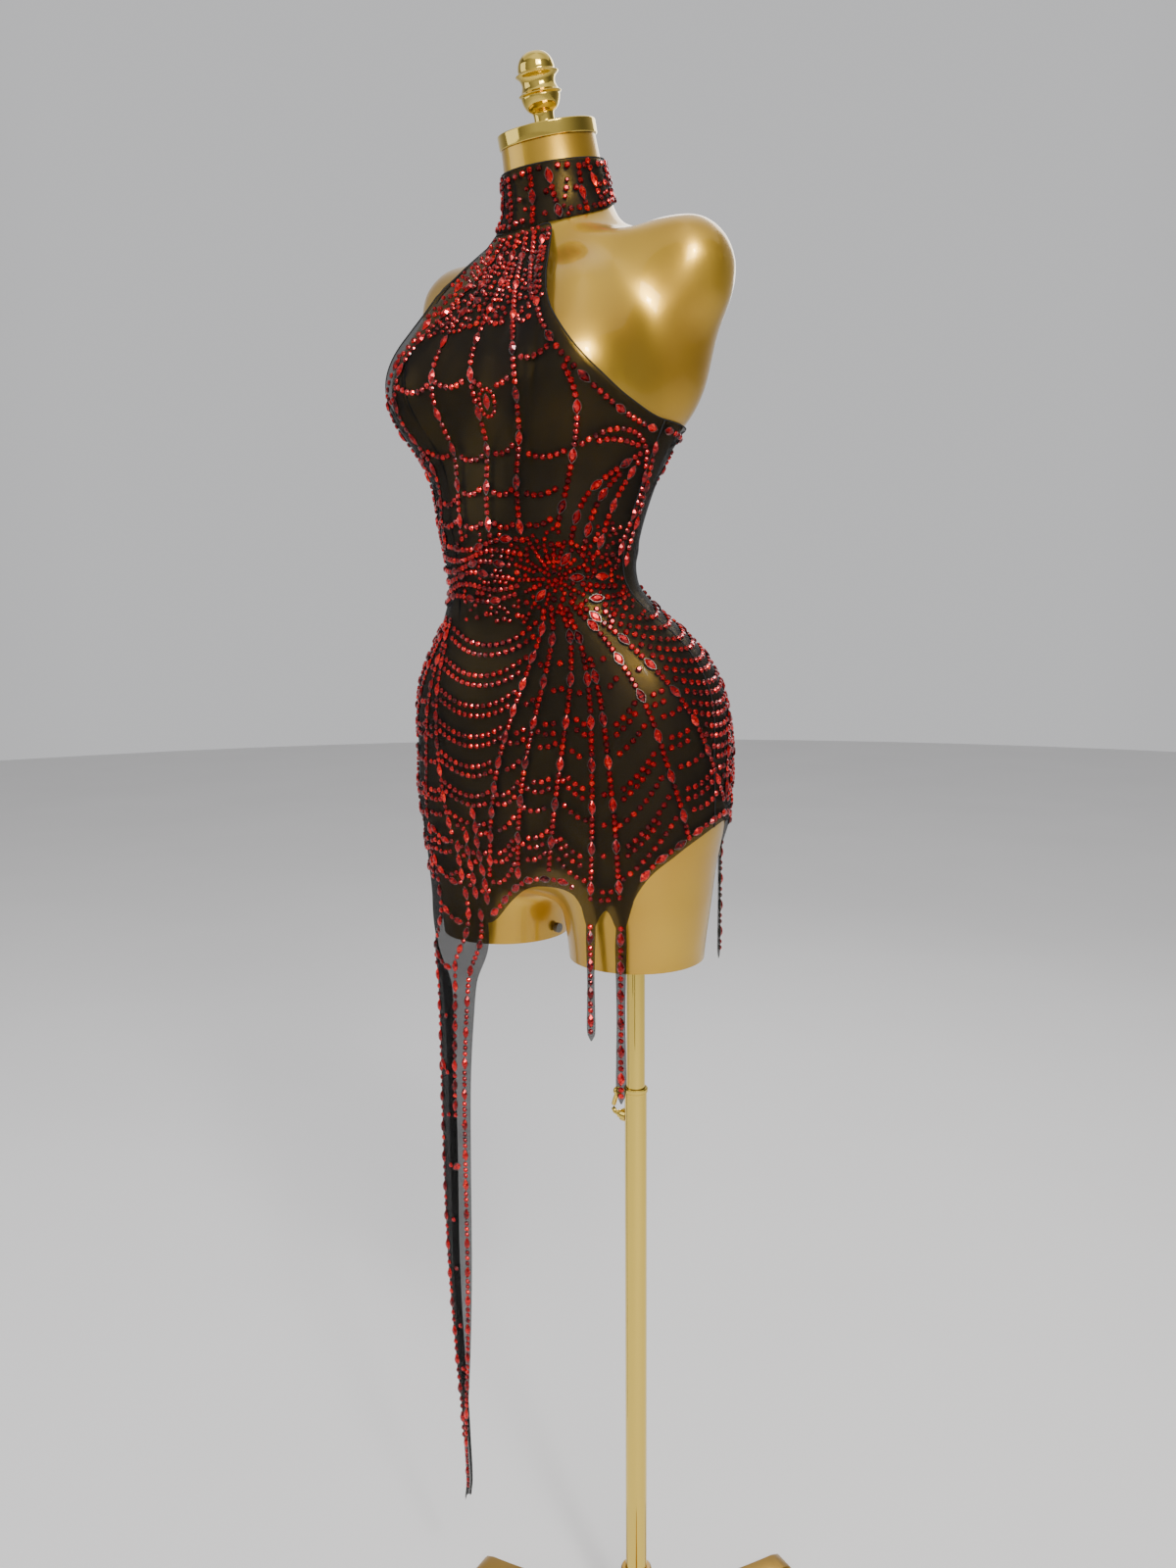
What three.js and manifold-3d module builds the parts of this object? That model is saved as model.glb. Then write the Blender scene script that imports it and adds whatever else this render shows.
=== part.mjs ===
// Crystal mesh halter dress on a limbless dress form, which stands on a telescopic pole.
// Millimetres, +Z up. The origin is the pole's axis on the floor. The form faces -Y and its own
// left side is +X. The pole enters the left thigh, so the median plane is at x = MEDIAN_X.
import * as THREE from 'three';
import { mergeVertices } from 'three/addons/utils/BufferGeometryUtils.js';
import Module from 'manifold-3d';

const wasm = await Module();
wasm.setup();

const { clamp, degToRad } = THREE.MathUtils;

// ---- Driving dimensions -------------------------------------------------------------------

const THIGH_X = 85; // from the median plane to each thigh's axis
const MEDIAN_X = -THIGH_X;
const STUMP_Z = 757; // flat lower ends of the thighs
const CROTCH_Z = 812;
const FAN_Z = 1330; // above this level the torso is measured along rays that fan upwards
const FAN_Y = -2;
const FAN_DEGREES = [10, 19, 27, 34, 40, 46, 52, 58, 64, 69, 73, 76.5];
const NECK_TOP_Z = 1514; // where the neck's axis meets its trimmed top
const NECK_TOP_Y = -17;
const NECK_LEAN = degToRad(16);
const RAY_START = 216; // further out than any of the form's skin
const SHELL_WALL = 5;
const SHELL_FLOOR = 8;
const NECK_HOLE_R = 28;
const HOLLOW_TOP_Z = 1484; // only the neck hole goes higher
const HIP_TOP_Z = 826; // the thighs end inside the torso, above the crotch
const SKIN_SIDES = 44;
const HOLLOW_SIDES = 20;
const THIGH_SIDES = 28;

const CLOTH_GAP = 2.3; // from the form's true surface to the cloth's inner face
const CLOTH_WALL = 1.2;
const SEAM_GAP = 0.3;
const COLLAR_FOOT = { z: 1452, slant: 22 }; // level at the sides, and how much lower in front
const COLLAR_TOP = { z: 1494, slant: 11 };
const DRAPE_Z = 880; // below this level the skirt tapers less than the thighs
const DRAPE_SHARE = 0.5;
const HIP_ROWS_Z = 900; // lowest and highest of the dress's level rows
const CHEST_ROWS_Z = 1236;

const SEAT_GAP = 0.3; // between pieces that rest on each other
const CAP_R = 45.5;
const CAP_H = 13;
const CAP_EDGE = 1.2;
const BOLT_R = 5;
const BOLT_HEAD = 4.2;
const BOLT_Z = 768;

const POST_R = 11;
const POST_BORE_R = 9.7;
const POST_TOP_Z = 622;
const MAST_R = 9.2;
const MAST_BORE_R = 7.9;
const MAST_FOOT_Z = 150;
const MAST_TOP_Z = 892;
const SOCKET_R = 16;
const SOCKET_BORE_R = 9.7;

const CLAMP_Z = 589; // the clamp screw's axis, which runs along X
const CLAMP_BOSS_R = 6.5;
const CLAMP_BOSS_X = -16.5;
const SCREW_R = 3;
const SCREW_BORE_R = 3.3;
const LEVER_R = 2.4;
const LEVER_BALL_R = 4.5;

const HUB_FLOOR = 14; // solid metal under the post
const HUB_FLAT = 30; // from the axis to the six flats that carry the arms
const HUB_H = 34;
const HUB_NECK_R = 16;
const HUB_TOP_Z = 90;
const ARM_COUNT = 3;
const ARM_FIRST = degToRad(-52);
const ARM_REACH = 203;
const ARM_WIDTH = 24;

// The torso's level sections: superellipses of the given half sizes round (0, centre).
const TORSO = [
  { z: 790, width: 105, centre: 0, depth: 40, power: 2.3 },
  { z: 830, width: 136, centre: 0, depth: 62, power: 2.3 },
  { z: 870, width: 158, centre: 0, depth: 85, power: 2.3 },
  { z: 920, width: 168, centre: 0, depth: 98, power: 2.2 },
  { z: 960, width: 170, centre: 0, depth: 103, power: 2.2 },
  { z: 1000, width: 171, centre: 0, depth: 103, power: 2.2 },
  { z: 1040, width: 158, centre: -3, depth: 98, power: 2.1 },
  { z: 1070, width: 133, centre: -10, depth: 88, power: 2.1 },
  { z: 1095, width: 104, centre: -25, depth: 75, power: 2.1 },
  { z: 1120, width: 93, centre: -35, depth: 71, power: 2.1 },
  { z: 1160, width: 101, centre: -37, depth: 74, power: 2.1 },
  { z: 1200, width: 112, centre: -32, depth: 79, power: 2.1 },
  { z: 1240, width: 124, centre: -25, depth: 86, power: 2.2 },
  { z: 1280, width: 132, centre: -17, depth: 91, power: 2.2 },
  { z: 1320, width: 132, centre: -10, depth: 89, power: 2.2 },
  { z: 1360, width: 120, centre: -5, depth: 81, power: 2.2 },
  { z: 1400, width: 98, centre: -1, depth: 69, power: 2.2 },
  { z: 1430, width: 70, centre: 1, depth: 56, power: 2.1 },
  { z: 1460, width: 44, centre: -1, depth: 44, power: 2 },
  { z: 1500, width: 30, centre: -12, depth: 30, power: 2 },
];

// Rounded masses on both sides of the median plane; fillet is the blend with what is there.
const BREAST = { x: 74, y: -73, z: 1292, rx: 60, ry: 61, rz: 59, fillet: 24 };
const BREAST_TOP = { x: 64, y: -56, z: 1332, rx: 52, ry: 46, rz: 62, fillet: 30 };
const BUTTOCK = { x: 72, y: 52, z: 945, rx: 74, ry: 70, rz: 84, fillet: 30 };
const SHOULDER = { x: 135, y: 10, z: 1385, rx: 46, ry: 48, rz: 51, fillet: 18 };
const CHEST_SIDE = { x: 92, y: 8, z: 1366, rx: 62, ry: 52, rz: 54, fillet: 22 };
const ARM_ROOT = { x: 117, y: 10, z: 1325, rx: 36, ry: 46, rz: 74, fillet: 24 };

// Tapered rods on both sides of the median plane, from a to b.
const THIGH = { a: [THIGH_X, 2, 700], b: [THIGH_X, 2, 900], ra: 59, rb: 84, fillet: 20 };
const TRAPEZIUS = { a: [30, 14, 1424], b: [120, 12, 1401], ra: 22, rb: 22, fillet: 14 };
const COLLARBONE = { a: [20, -50, 1418], b: [114, -20, 1414], ra: 8, rb: 9, fillet: 12 };
const NECK = { a: [0, 8, 1425], b: [0, -27, 1550], ra: 49.5, rb: 42.5, fillet: 18 };

// The dress's upper edge: level `top` at each turn from the front, the same on both sides.
// Front and back panels meet at a quarter turn.
const TOP_EDGE = [
  { turn: 0, top: 1429 }, { turn: 20, top: 1430 }, { turn: 30, top: 1430 },
  { turn: 32, top: 1422 }, { turn: 33, top: 1400 }, { turn: 34, top: 1368 },
  { turn: 36, top: 1348 }, { turn: 38, top: 1336 }, { turn: 44, top: 1312 },
  { turn: 50, top: 1295 }, { turn: 56, top: 1283 }, { turn: 62, top: 1274 },
  { turn: 68, top: 1268 }, { turn: 80, top: 1260 }, { turn: 90, top: 1256 },
  { turn: 130, top: 1250 }, { turn: 180, top: 1246 },
];

// The hem's level at each turn from the front; positive turns go to the left side.
const HEM = [
  { turn: -180, z: 866 }, { turn: -150, z: 868 }, { turn: -125, z: 870 },
  { turn: -110, z: 852 }, { turn: -98, z: 815 }, { turn: -90, z: 800 },
  { turn: -48, z: 797 }, { turn: -37, z: 795 }, { turn: -30, z: 789 }, { turn: -27, z: 786 },
  { turn: -20, z: 791 }, { turn: -5, z: 812 },
  { turn: 12, z: 829 }, { turn: 30, z: 835 }, { turn: 41, z: 832 },
  { turn: 45.5, z: 820 }, { turn: 47.4, z: 804 }, { turn: 51, z: 804 },
  { turn: 52.4, z: 813 }, { turn: 54.6, z: 820 }, { turn: 56.6, z: 813 },
  { turn: 58, z: 804 }, { turn: 61.2, z: 806 }, { turn: 63.4, z: 831 },
  { turn: 68, z: 853 }, { turn: 74.6, z: 869 }, { turn: 81.8, z: 883 },
  { turn: 90, z: 893 }, { turn: 97, z: 896 }, { turn: 105, z: 891 },
  { turn: 110, z: 880 }, { turn: 113.5, z: 866 }, { turn: 116.5, z: 866 },
  { turn: 121, z: 878 }, { turn: 135, z: 874 }, { turn: 150, z: 869 },
  { turn: 180, z: 866 },
];

// Narrow points that hang from the hem.
const DRIPS = [
  { panel: 'front', turn: 49.2, root: 812, tip: 693, width: 11 },
  { panel: 'front', turn: 59.6, root: 812, tip: 636, width: 12 },
  { panel: 'back', turn: 115, root: 874, tip: 748, width: 10 },
];

// The long tail, in turns about the right thigh's axis: its free edge, the fold at its outer
// side, and how far the layer behind comes back from the fold. `folded` is 0 where it is still
// open round the thigh.
const TAIL = [
  { z: 132, edge: -2.5, fold: -3.5, back: 0.5, folded: 1 },
  { z: 152, edge: 2, fold: -1.8, back: 1, folded: 1 },
  { z: 200, edge: 0.8, fold: -4, back: 2, folded: 1 },
  { z: 245, edge: 1.8, fold: -6.6, back: 3.5, folded: 1 },
  { z: 290, edge: 4, fold: -11, back: 6, folded: 1 },
  { z: 400, edge: 8, fold: -17.5, back: 10, folded: 1 },
  { z: 520, edge: 10.6, fold: -21.3, back: 13, folded: 1 },
  { z: 620, edge: 12.5, fold: -25.7, back: 15, folded: 1 },
  { z: 690, edge: 16, fold: -28.8, back: 18, folded: 1 },
  { z: 720, edge: 18.5, fold: -31, back: 20, folded: 0.9 },
  { z: 745, edge: 24, fold: -40, back: 20, folded: 0.6 },
  { z: 768, edge: 30, fold: -50, back: 20, folded: 0.25 },
  { z: 786, edge: 35, fold: -68, back: 20, folded: 0.06 },
  { z: 806, edge: 40, fold: -88, back: 20, folded: 0 },
];
const TAIL_OPEN_TO = -88; // the open tail's far edge, at the side seam
const TAIL_FOLD_R = 4;
const TAIL_ROOT = { turn: -60, z: 797 }; // the tail hangs straight down from the skirt here
const TAIL_COLUMNS = 13;
const TAIL_FOLD_COLUMN = 8;
const FOLD_BULGE = 2.6; // degrees, how far the fold's round back stands past the fold

// ---- Solids -------------------------------------------------------------------------------

function solidOf(geometry) {
  const bare = geometry.clone();
  bare.deleteAttribute('normal');
  bare.deleteAttribute('uv');
  const merged = mergeVertices(bare, 1e-4);
  return new wasm.Manifold(new wasm.Mesh({
    numProp: 3,
    vertProperties: new Float32Array(merged.attributes.position.array),
    triVerts: new Uint32Array(merged.index.array),
  }));
}

function geometryOf(solid) {
  const mesh = solid.getMesh();
  const geometry = new THREE.BufferGeometry();
  geometry.setAttribute('position', new THREE.BufferAttribute(mesh.vertProperties, 3));
  geometry.setIndex(new THREE.BufferAttribute(mesh.triVerts, 1));
  return geometry;
}

function gridGeometry(points, faces) {
  const geometry = new THREE.BufferGeometry();
  geometry.setAttribute('position', new THREE.Float32BufferAttribute(points.flat(), 3));
  geometry.setIndex(faces);
  return geometry;
}

// A solid through level rings that run anticlockwise seen from above, lowest ring first.
function loft(rings) {
  const count = rings[0].length;
  const points = rings.flat();
  const faces = [];
  for (let i = 0; i + 1 < rings.length; i += 1) {
    for (let j = 0; j < count; j += 1) {
      const a = i * count + j;
      const b = i * count + ((j + 1) % count);
      faces.push(a, b, b + count, a, b + count, a + count);
    }
  }
  const last = points.length - count;
  const foot = points.push(middle(rings[0])) - 1;
  const head = points.push(middle(rings.at(-1))) - 1;
  for (let j = 0; j < count; j += 1) {
    const next = (j + 1) % count;
    faces.push(foot, next, j, head, last + j, last + next);
  }
  return gridGeometry(points, faces);
}

function middle(ring) {
  return [0, 1, 2].map((k) => ring.reduce((sum, p) => sum + p[k], 0) / ring.length);
}

// Four corners, begun where their shorter diagonal ends.
function shorterFirst(points, corners) {
  const [a, b, c, d] = corners.map((corner) => new THREE.Vector3(...points[corner]));
  return a.distanceTo(c) <= b.distanceTo(d) ? corners : [...corners.slice(1), corners[0]];
}

// A wall between two grids of points, [row][column], rows going up. Both faces of the wall split
// their quads the same way, so they don't cross where a quad isn't flat. Seen from outside, columns
// run to the right. A closed wall joins its last column to its first.
function wall(outer, inner, closed) {
  const rows = outer.length;
  const columns = outer[0].length;
  const points = [...outer.flat(), ...inner.flat()];
  const skin = rows * columns;
  const faces = [];
  const quad = (a, b, c, d) => faces.push(a, b, c, a, c, d);
  const spans = closed ? columns : columns - 1;
  for (let j = 0; j < spans; j += 1) {
    const k = (j + 1) % columns;
    for (let i = 0; i + 1 < rows; i += 1) {
      const low = i * columns;
      const high = low + columns;
      const corners = [low + j, low + k, high + k, high + j];
      const [a, b, c, d] = shorterFirst(points, corners);
      quad(a, b, c, d);
      quad(skin + a, skin + d, skin + c, skin + b);
    }
    const top = (rows - 1) * columns;
    quad(skin + j, skin + k, k, j);
    quad(top + j, top + k, skin + top + k, skin + top + j);
  }
  if (!closed) {
    for (let i = 0; i + 1 < rows; i += 1) {
      const low = i * columns;
      const high = low + columns;
      const end = columns - 1;
      quad(skin + low, low, high, skin + high);
      quad(low + end, skin + low + end, skin + high + end, high + end);
    }
  }
  return gridGeometry(points, faces);
}

function turned(profile, sides) {
  const outline = profile.map(([r, z]) => new THREE.Vector2(r, z));
  return new THREE.LatheGeometry(outline, sides).rotateX(Math.PI / 2);
}

function rod(radius, low, high, sides = 24) {
  return turned([[0, low], [radius, low], [radius, high], [0, high]], sides);
}

// A rod along X between two places.
function crossRod(radius, low, high, sides = 16) {
  return rod(radius, low, high, sides).rotateY(Math.PI / 2);
}

function evenly(low, high, count) {
  return Array.from({ length: count }, (_, i) => low + ((high - low) * i) / (count - 1));
}

// ---- The figure's surface -----------------------------------------------------------------

// Cubic through a table's column, keyed by another, with slopes from the neighbouring rows.
function curve(table, by, of, at) {
  const last = table.length - 1;
  const place = clamp(at, table[0][by], table[last][by]);
  let i = 0;
  while (i < last - 1 && table[i + 1][by] < place) i += 1;
  const slope = (k) => {
    const low = table[Math.max(k - 1, 0)];
    const high = table[Math.min(k + 1, last)];
    return (high[of] - low[of]) / (high[by] - low[by]);
  };
  const span = table[i + 1][by] - table[i][by];
  const t = (place - table[i][by]) / span;
  const ease = t * t * (3 - 2 * t);
  return table[i][of] * (1 - ease) + table[i + 1][of] * ease
    + span * t * (1 - t) * (slope(i) * (1 - t) - slope(i + 1) * t);
}

function spineY(z) {
  return curve(TORSO, 'z', 'centre', z);
}

function neckPlace(z) {
  const t = (z - NECK.a[2]) / (NECK.b[2] - NECK.a[2]);
  return { y: NECK.a[1] + (NECK.b[1] - NECK.a[1]) * t, r: NECK.ra + (NECK.rb - NECK.ra) * t };
}

function torsoDistance(x, y, z) {
  const dy = y - spineY(z);
  const power = curve(TORSO, 'z', 'power', z);
  const across = Math.abs(x) / curve(TORSO, 'z', 'width', z);
  const deep = Math.abs(dy) / curve(TORSO, 'z', 'depth', z);
  const q = (across ** power + deep ** power) ** (1 / power);
  const beyond = Math.max(z - TORSO.at(-1).z, 0);
  return Math.hypot(x, dy) * (1 - 1 / Math.max(q, 0.05)) + beyond;
}

function massDistance(mass, x, y, z) {
  const offset = [Math.abs(x) - mass.x, y - mass.y, z - mass.z];
  const radius = [mass.rx, mass.ry, mass.rz];
  const k0 = Math.hypot(...offset.map((value, k) => value / radius[k]));
  const k1 = Math.hypot(...offset.map((value, k) => value / (radius[k] * radius[k])));
  return k1 < 1e-9 ? -mass.rx : (k0 * (k0 - 1)) / k1;
}

function dot(a, b) {
  return a.reduce((sum, value, k) => sum + value * b[k], 0);
}

function limbDistance(limb, x, y, z) {
  const p = [Math.abs(x) - limb.a[0], y - limb.a[1], z - limb.a[2]];
  const run = limb.b.map((value, k) => value - limb.a[k]);
  const t = clamp(dot(run, p) / dot(run, run), 0, 1);
  const away = Math.hypot(...p.map((value, k) => value - run[k] * t));
  return away - (limb.ra + (limb.rb - limb.ra) * t);
}

function joined(a, b, fillet) {
  const h = Math.max(fillet - Math.abs(a - b), 0) / fillet;
  return Math.min(a, b) - (h * h * fillet) / 4;
}

function withParts(d, masses, limbs, x, y, z) {
  const fused = masses.reduce((sum, m) => joined(sum, massDistance(m, x, y, z), m.fillet), d);
  return limbs.reduce((sum, limb) => joined(sum, limbDistance(limb, x, y, z), limb.fillet), fused);
}

// Distance to the trunk without its shoulders, which the cloth doesn't touch.
function trunk(x, y, z) {
  const masses = [BREAST, BREAST_TOP, BUTTOCK];
  return withParts(torsoDistance(x, y, z), masses, [THIGH, NECK, COLLARBONE], x, y, z);
}

function figure(x, y, z) {
  return withParts(trunk(x, y, z), [SHOULDER, CHEST_SIDE, ARM_ROOT], [TRAPEZIUS], x, y, z);
}

// Where a ray from an inner point leaves the surface that lies `depth` outside the field's.
function reach(field, from, way, depth = 0) {
  const at = (r) => field(...along(from, way, r)) - depth;
  const step = 6;
  const halvings = 14;
  let low = RAY_START;
  while (low > 0 && at(low) > 0) low -= step;
  let high = low + step;
  for (let i = 0; i < halvings; i += 1) {
    const half = (low + high) / 2;
    if (at(half) < 0) low = half;
    else high = half;
  }
  return low;
}

function along(from, way, r) {
  return from.map((value, k) => value + way[k] * r);
}

// Turns run from the front, so a quarter turn is the figure's left side.
function bearing(turn, elevation = 0) {
  const flat = Math.cos(elevation);
  return [Math.sin(turn) * flat, -Math.cos(turn) * flat, Math.sin(elevation)];
}

function allRound(sides) {
  return Array.from({ length: sides }, (_, j) => (j * 2 * Math.PI) / sides);
}

// ---- The dress form -----------------------------------------------------------------------

// Level rings up to the chest, then rings that fan up over the shoulders to the neck.
function figureRings(sides, levels, fan, depth) {
  const level = (z) => allRound(sides).map((turn) => {
    const from = [0, spineY(z), z];
    return along(from, bearing(turn), reach(figure, from, bearing(turn), depth));
  });
  const rise = (degrees) => allRound(sides).map((turn) => {
    const from = [0, FAN_Y, FAN_Z];
    const way = bearing(turn, degToRad(degrees));
    return along(from, way, reach(figure, from, way, depth));
  });
  const crownZ = NECK.b[2] - 5;
  const crown = neckPlace(crownZ);
  const top = allRound(sides).map((turn) => (
    along([0, crown.y, crownZ], bearing(turn), crown.r + depth)));
  return [...levels.map(level), ...fan.map(rise), top];
}

function thighRadius(z) {
  return THIGH.ra + ((THIGH.rb - THIGH.ra) * (z - THIGH.a[2])) / (THIGH.b[2] - THIGH.a[2]);
}

function thighSolid(side, depth, low, high, sides) {
  const rings = [low, CROTCH_Z, high].map((z) => allRound(sides).map((turn) => (
    along([side * THIGH_X, THIGH.a[1], z], bearing(turn), thighRadius(z) + depth))));
  return solidOf(loft(rings));
}

// What is on the neck's slanted top stands on this frame, whose +Z is the neck's axis there.
function onNeck(geometry) {
  return geometry.rotateX(NECK_LEAN).translate(0, NECK_TOP_Y, NECK_TOP_Z);
}

function withThighs(torso, depth, low, high, sides) {
  return [1, -1].reduce((solid, side) => solid.add(thighSolid(side, depth, low, high, sides)), torso);
}

// A shell with a hole at the neck, and in its left thigh a closed boss that holds the pole.
function buildForm() {
  const size = 200;
  const cutter = new THREE.BoxGeometry(size, size, size).translate(0, 0, size / 2);
  const skinLevels = evenly(CROTCH_Z, FAN_Z, 24);
  const torso = solidOf(loft(figureRings(SKIN_SIDES, skinLevels, FAN_DEGREES, 0)));
  const skin = withThighs(torso, 0, STUMP_Z, HIP_TOP_Z, THIGH_SIDES)
    .subtract(solidOf(onNeck(cutter.clone())));

  const hollowLevels = evenly(CROTCH_Z + SHELL_WALL, FAN_Z, 17);
  const hollowFan = FAN_DEGREES.filter((_, i) => i % 2 === 1);
  const core = solidOf(loft(figureRings(HOLLOW_SIDES, hollowLevels, hollowFan, -SHELL_WALL)))
    .subtract(solidOf(cutter.translate(0, 0, HOLLOW_TOP_Z)));
  const floorZ = STUMP_Z + SHELL_FLOOR;
  const hollow = withThighs(core, -SHELL_WALL, floorZ, HIP_TOP_Z + 4, HOLLOW_SIDES)
    .add(solidOf(onNeck(rod(NECK_HOLE_R, -60, 40))));

  const socket = rod(SOCKET_R, STUMP_Z + 2, MAST_TOP_Z + 10).translate(THIGH_X, 0, 0);
  const bore = rod(SOCKET_BORE_R, STUMP_Z - 10, MAST_TOP_Z + SEAT_GAP).translate(THIGH_X, 0, 0);
  return geometryOf(skin.subtract(hollow).add(solidOf(socket)).subtract(solidOf(bore)));
}

function buildCap() {
  return onNeck(turned([
    [0, SEAT_GAP], [CAP_R - CAP_EDGE, SEAT_GAP], [CAP_R, SEAT_GAP + CAP_EDGE],
    [CAP_R, CAP_H - CAP_EDGE], [CAP_R - CAP_EDGE, CAP_H], [0, CAP_H],
  ], 32));
}

function buildFinial() {
  const foot = CAP_H + SEAT_GAP;
  const outline = [
    [0, 0], [11.4, 0], [11.4, 1.5], [9.6, 4], [9.4, 10], [10.3, 12.5], [13.4, 14.6], [16.2, 19],
    [17.6, 24], [17.7, 25.6], [19.6, 27.3], [17.4, 29.2], [15.6, 33], [15.2, 36.5], [16.6, 40],
    [19.7, 43.2], [16.9, 45], [16.6, 48], [15.6, 52.4], [12.8, 57], [7.4, 60.6], [0, 61.7],
  ];
  return onNeck(turned(outline.map(([r, z]) => [r, z + foot]), 18));
}

// A screw head on the inner side of the right thigh.
function buildBolt() {
  const skinX = -THIGH_X + thighRadius(BOLT_Z + BOLT_R);
  const headX = skinX + SEAT_GAP;
  return crossRod(BOLT_R, headX, headX + BOLT_HEAD).translate(0, THIGH.a[1], BOLT_Z);
}

// ---- The dress ----------------------------------------------------------------------------

// The cloth spans the trunk's hollows, so its level sections are convex. Each is kept as how far
// the trunk reaches in each of these directions.
const HULL_TURNS = allRound(72);
const sectionSupports = new Map();

function supports(z) {
  if (!sectionSupports.has(z)) {
    const centres = z < HIP_ROWS_Z ? [0, THIGH_X, -THIGH_X] : [0];
    const skin = centres.flatMap((x) => allRound(60).map((turn) => {
      const from = [x, x === 0 ? spineY(z) : THIGH.a[1], z];
      return along(from, bearing(turn), reach(trunk, from, bearing(turn)));
    }));
    const centre = [0, spineY(z), z];
    sectionSupports.set(z, HULL_TURNS.map((turn) => {
      const way = bearing(turn);
      return Math.max(...skin.map((p) => dot(way, p) - dot(way, centre)));
    }));
  }
  return sectionSupports.get(z);
}

// A point of the cloth's level section, `out` outside the trunk.
function clothPoint(turn, z, out) {
  const draped = z < DRAPE_Z ? DRAPE_Z - (DRAPE_Z - z) * DRAPE_SHARE : z;
  let r = Infinity;
  supports(draped).forEach((support, k) => {
    const lean = Math.cos(turn - HULL_TURNS[k]);
    if (lean > 0.2) r = Math.min(r, (support + out) / lean);
  });
  const centre = [0, spineY(draped), z];
  return along(centre, bearing(turn), Math.max(r, reach(figure, centre, bearing(turn), out)));
}

// Every turn of the hem's table from low to high, with more between them where they are further
// apart than `widest` gives for the turn halfway.
function columnTurns(low, high, widest) {
  const marks = HEM.map((row) => row.turn).filter((turn) => turn >= low && turn <= high);
  const turns = [marks[0]];
  for (const mark of marks.slice(1)) {
    const start = turns.at(-1);
    const count = Math.ceil((mark - start) / widest((mark + start) / 2));
    for (let k = 1; k <= count; k += 1) turns.push(start + ((mark - start) * k) / count);
  }
  return turns;
}

function rowLevels(turn, topRows) {
  const wrapped = turn > 180 ? turn - 360 : turn;
  const hem = curve(HEM, 'turn', 'z', wrapped);
  const top = curve(TOP_EDGE, 'turn', 'top', Math.abs(wrapped));
  return [
    ...evenly(hem, HIP_ROWS_Z, 4),
    ...evenly(HIP_ROWS_Z, CHEST_ROWS_Z, 16).slice(1),
    ...evenly(CHEST_ROWS_Z, top, topRows).slice(1),
  ];
}

function panelGeometry(turns, topRows) {
  const levels = turns.map((turn) => rowLevels(turn, topRows));
  const skinAt = (out) => levels[0].map((_, i) => turns.map((turn, j) => {
    const point = clothPoint(degToRad(turn), levels[j][i], out);
    const seam = j === 0 || j === turns.length - 1;
    const side = turns[0] < 0 ? -1 : 1;
    return seam ? [point[0], point[1] + (side * SEAM_GAP) / 2, point[2]] : point;
  }));
  return wall(skinAt(CLOTH_GAP + CLOTH_WALL), skinAt(CLOTH_GAP), false);
}

// A sheet along a path in each level, thickened evenly to both sides. Paths run to the right as
// seen from outside.
function sheet(levels) {
  const offset = (path, distance) => path.map((point, k) => {
    const before = path[Math.max(k - 1, 0)];
    const after = path[Math.min(k + 1, path.length - 1)];
    const length = Math.hypot(after[0] - before[0], after[1] - before[1]);
    const normal = [(after[1] - before[1]) / length, -(after[0] - before[0]) / length, 0];
    return along(point, normal, distance);
  });
  const skinAt = (distance) => levels.map((path) => offset(path, distance));
  return solidOf(wall(skinAt(CLOTH_WALL / 2), skinAt(-CLOTH_WALL / 2), false));
}

function drip({ turn, root, tip, width }) {
  const at = (degrees) => clothPoint(degToRad(degrees), root - 8, CLOTH_GAP + CLOTH_WALL / 2);
  const hang = at(turn);
  const right = at(turn + 1);
  const left = at(turn - 1);
  const length = Math.hypot(right[0] - left[0], right[1] - left[1]);
  const way = [(right[0] - left[0]) / length, (right[1] - left[1]) / length, 0];
  const shares = [0.1, 0.75, 0.8, 0.7, 0.85, 1]; // of the width, from the tip up
  const drop = root - tip;
  const heights = [0, 0.06, 0.25, 0.5, 0.8, 1].map((share) => tip + drop * share);
  return sheet(heights.map((z, i) => [-0.5, 0, 0.5].map((across) => (
    along([hang[0], hang[1], z], way, across * width * shares[i])))));
}

function tailPath(row, radius) {
  const spot = (degrees, r) => (
    along([-THIGH_X, THIGH.a[1], row.z], bearing(degToRad(degrees)), r));
  const last = TAIL_COLUMNS - 1;
  const turnAt = TAIL_FOLD_COLUMN;
  const openAt = (k) => row.edge + ((TAIL_OPEN_TO - row.edge) * k) / last;
  const foldedAt = (k) => {
    if (k < turnAt) return row.edge + ((row.fold - row.edge) * k) / (turnAt - 1);
    if (k === turnAt) return row.fold - FOLD_BULGE;
    return row.fold + (row.back * (k - turnAt - 1)) / (last - turnAt - 1);
  };
  const inset = (k) => TAIL_FOLD_R * clamp(k - turnAt + 1, 0, 2);
  return Array.from({ length: TAIL_COLUMNS }, (_, k) => {
    const at = openAt(k) * (1 - row.folded) + foldedAt(k) * row.folded;
    return spot(at, radius - inset(k) * row.folded);
  }).reverse();
}

function buildTail() {
  const root = clothPoint(degToRad(TAIL_ROOT.turn), TAIL_ROOT.z, CLOTH_GAP + CLOTH_WALL / 2);
  const radius = Math.hypot(root[0] + THIGH_X, root[1] - THIGH.a[1]);
  return sheet(TAIL.map((row) => tailPath(row, radius)));
}

function hangFrom(panel, panelName) {
  return DRIPS.filter((row) => row.panel === panelName)
    .reduce((solid, row) => solid.add(drip(row)), panel);
}

function buildFrontPanel() {
  const panel = solidOf(panelGeometry(columnTurns(-90, 90, (turn) => (Math.abs(turn) < 46 ? 4.6 : 8)), 10));
  return geometryOf(hangFrom(panel.add(buildTail()), 'front'));
}

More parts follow.
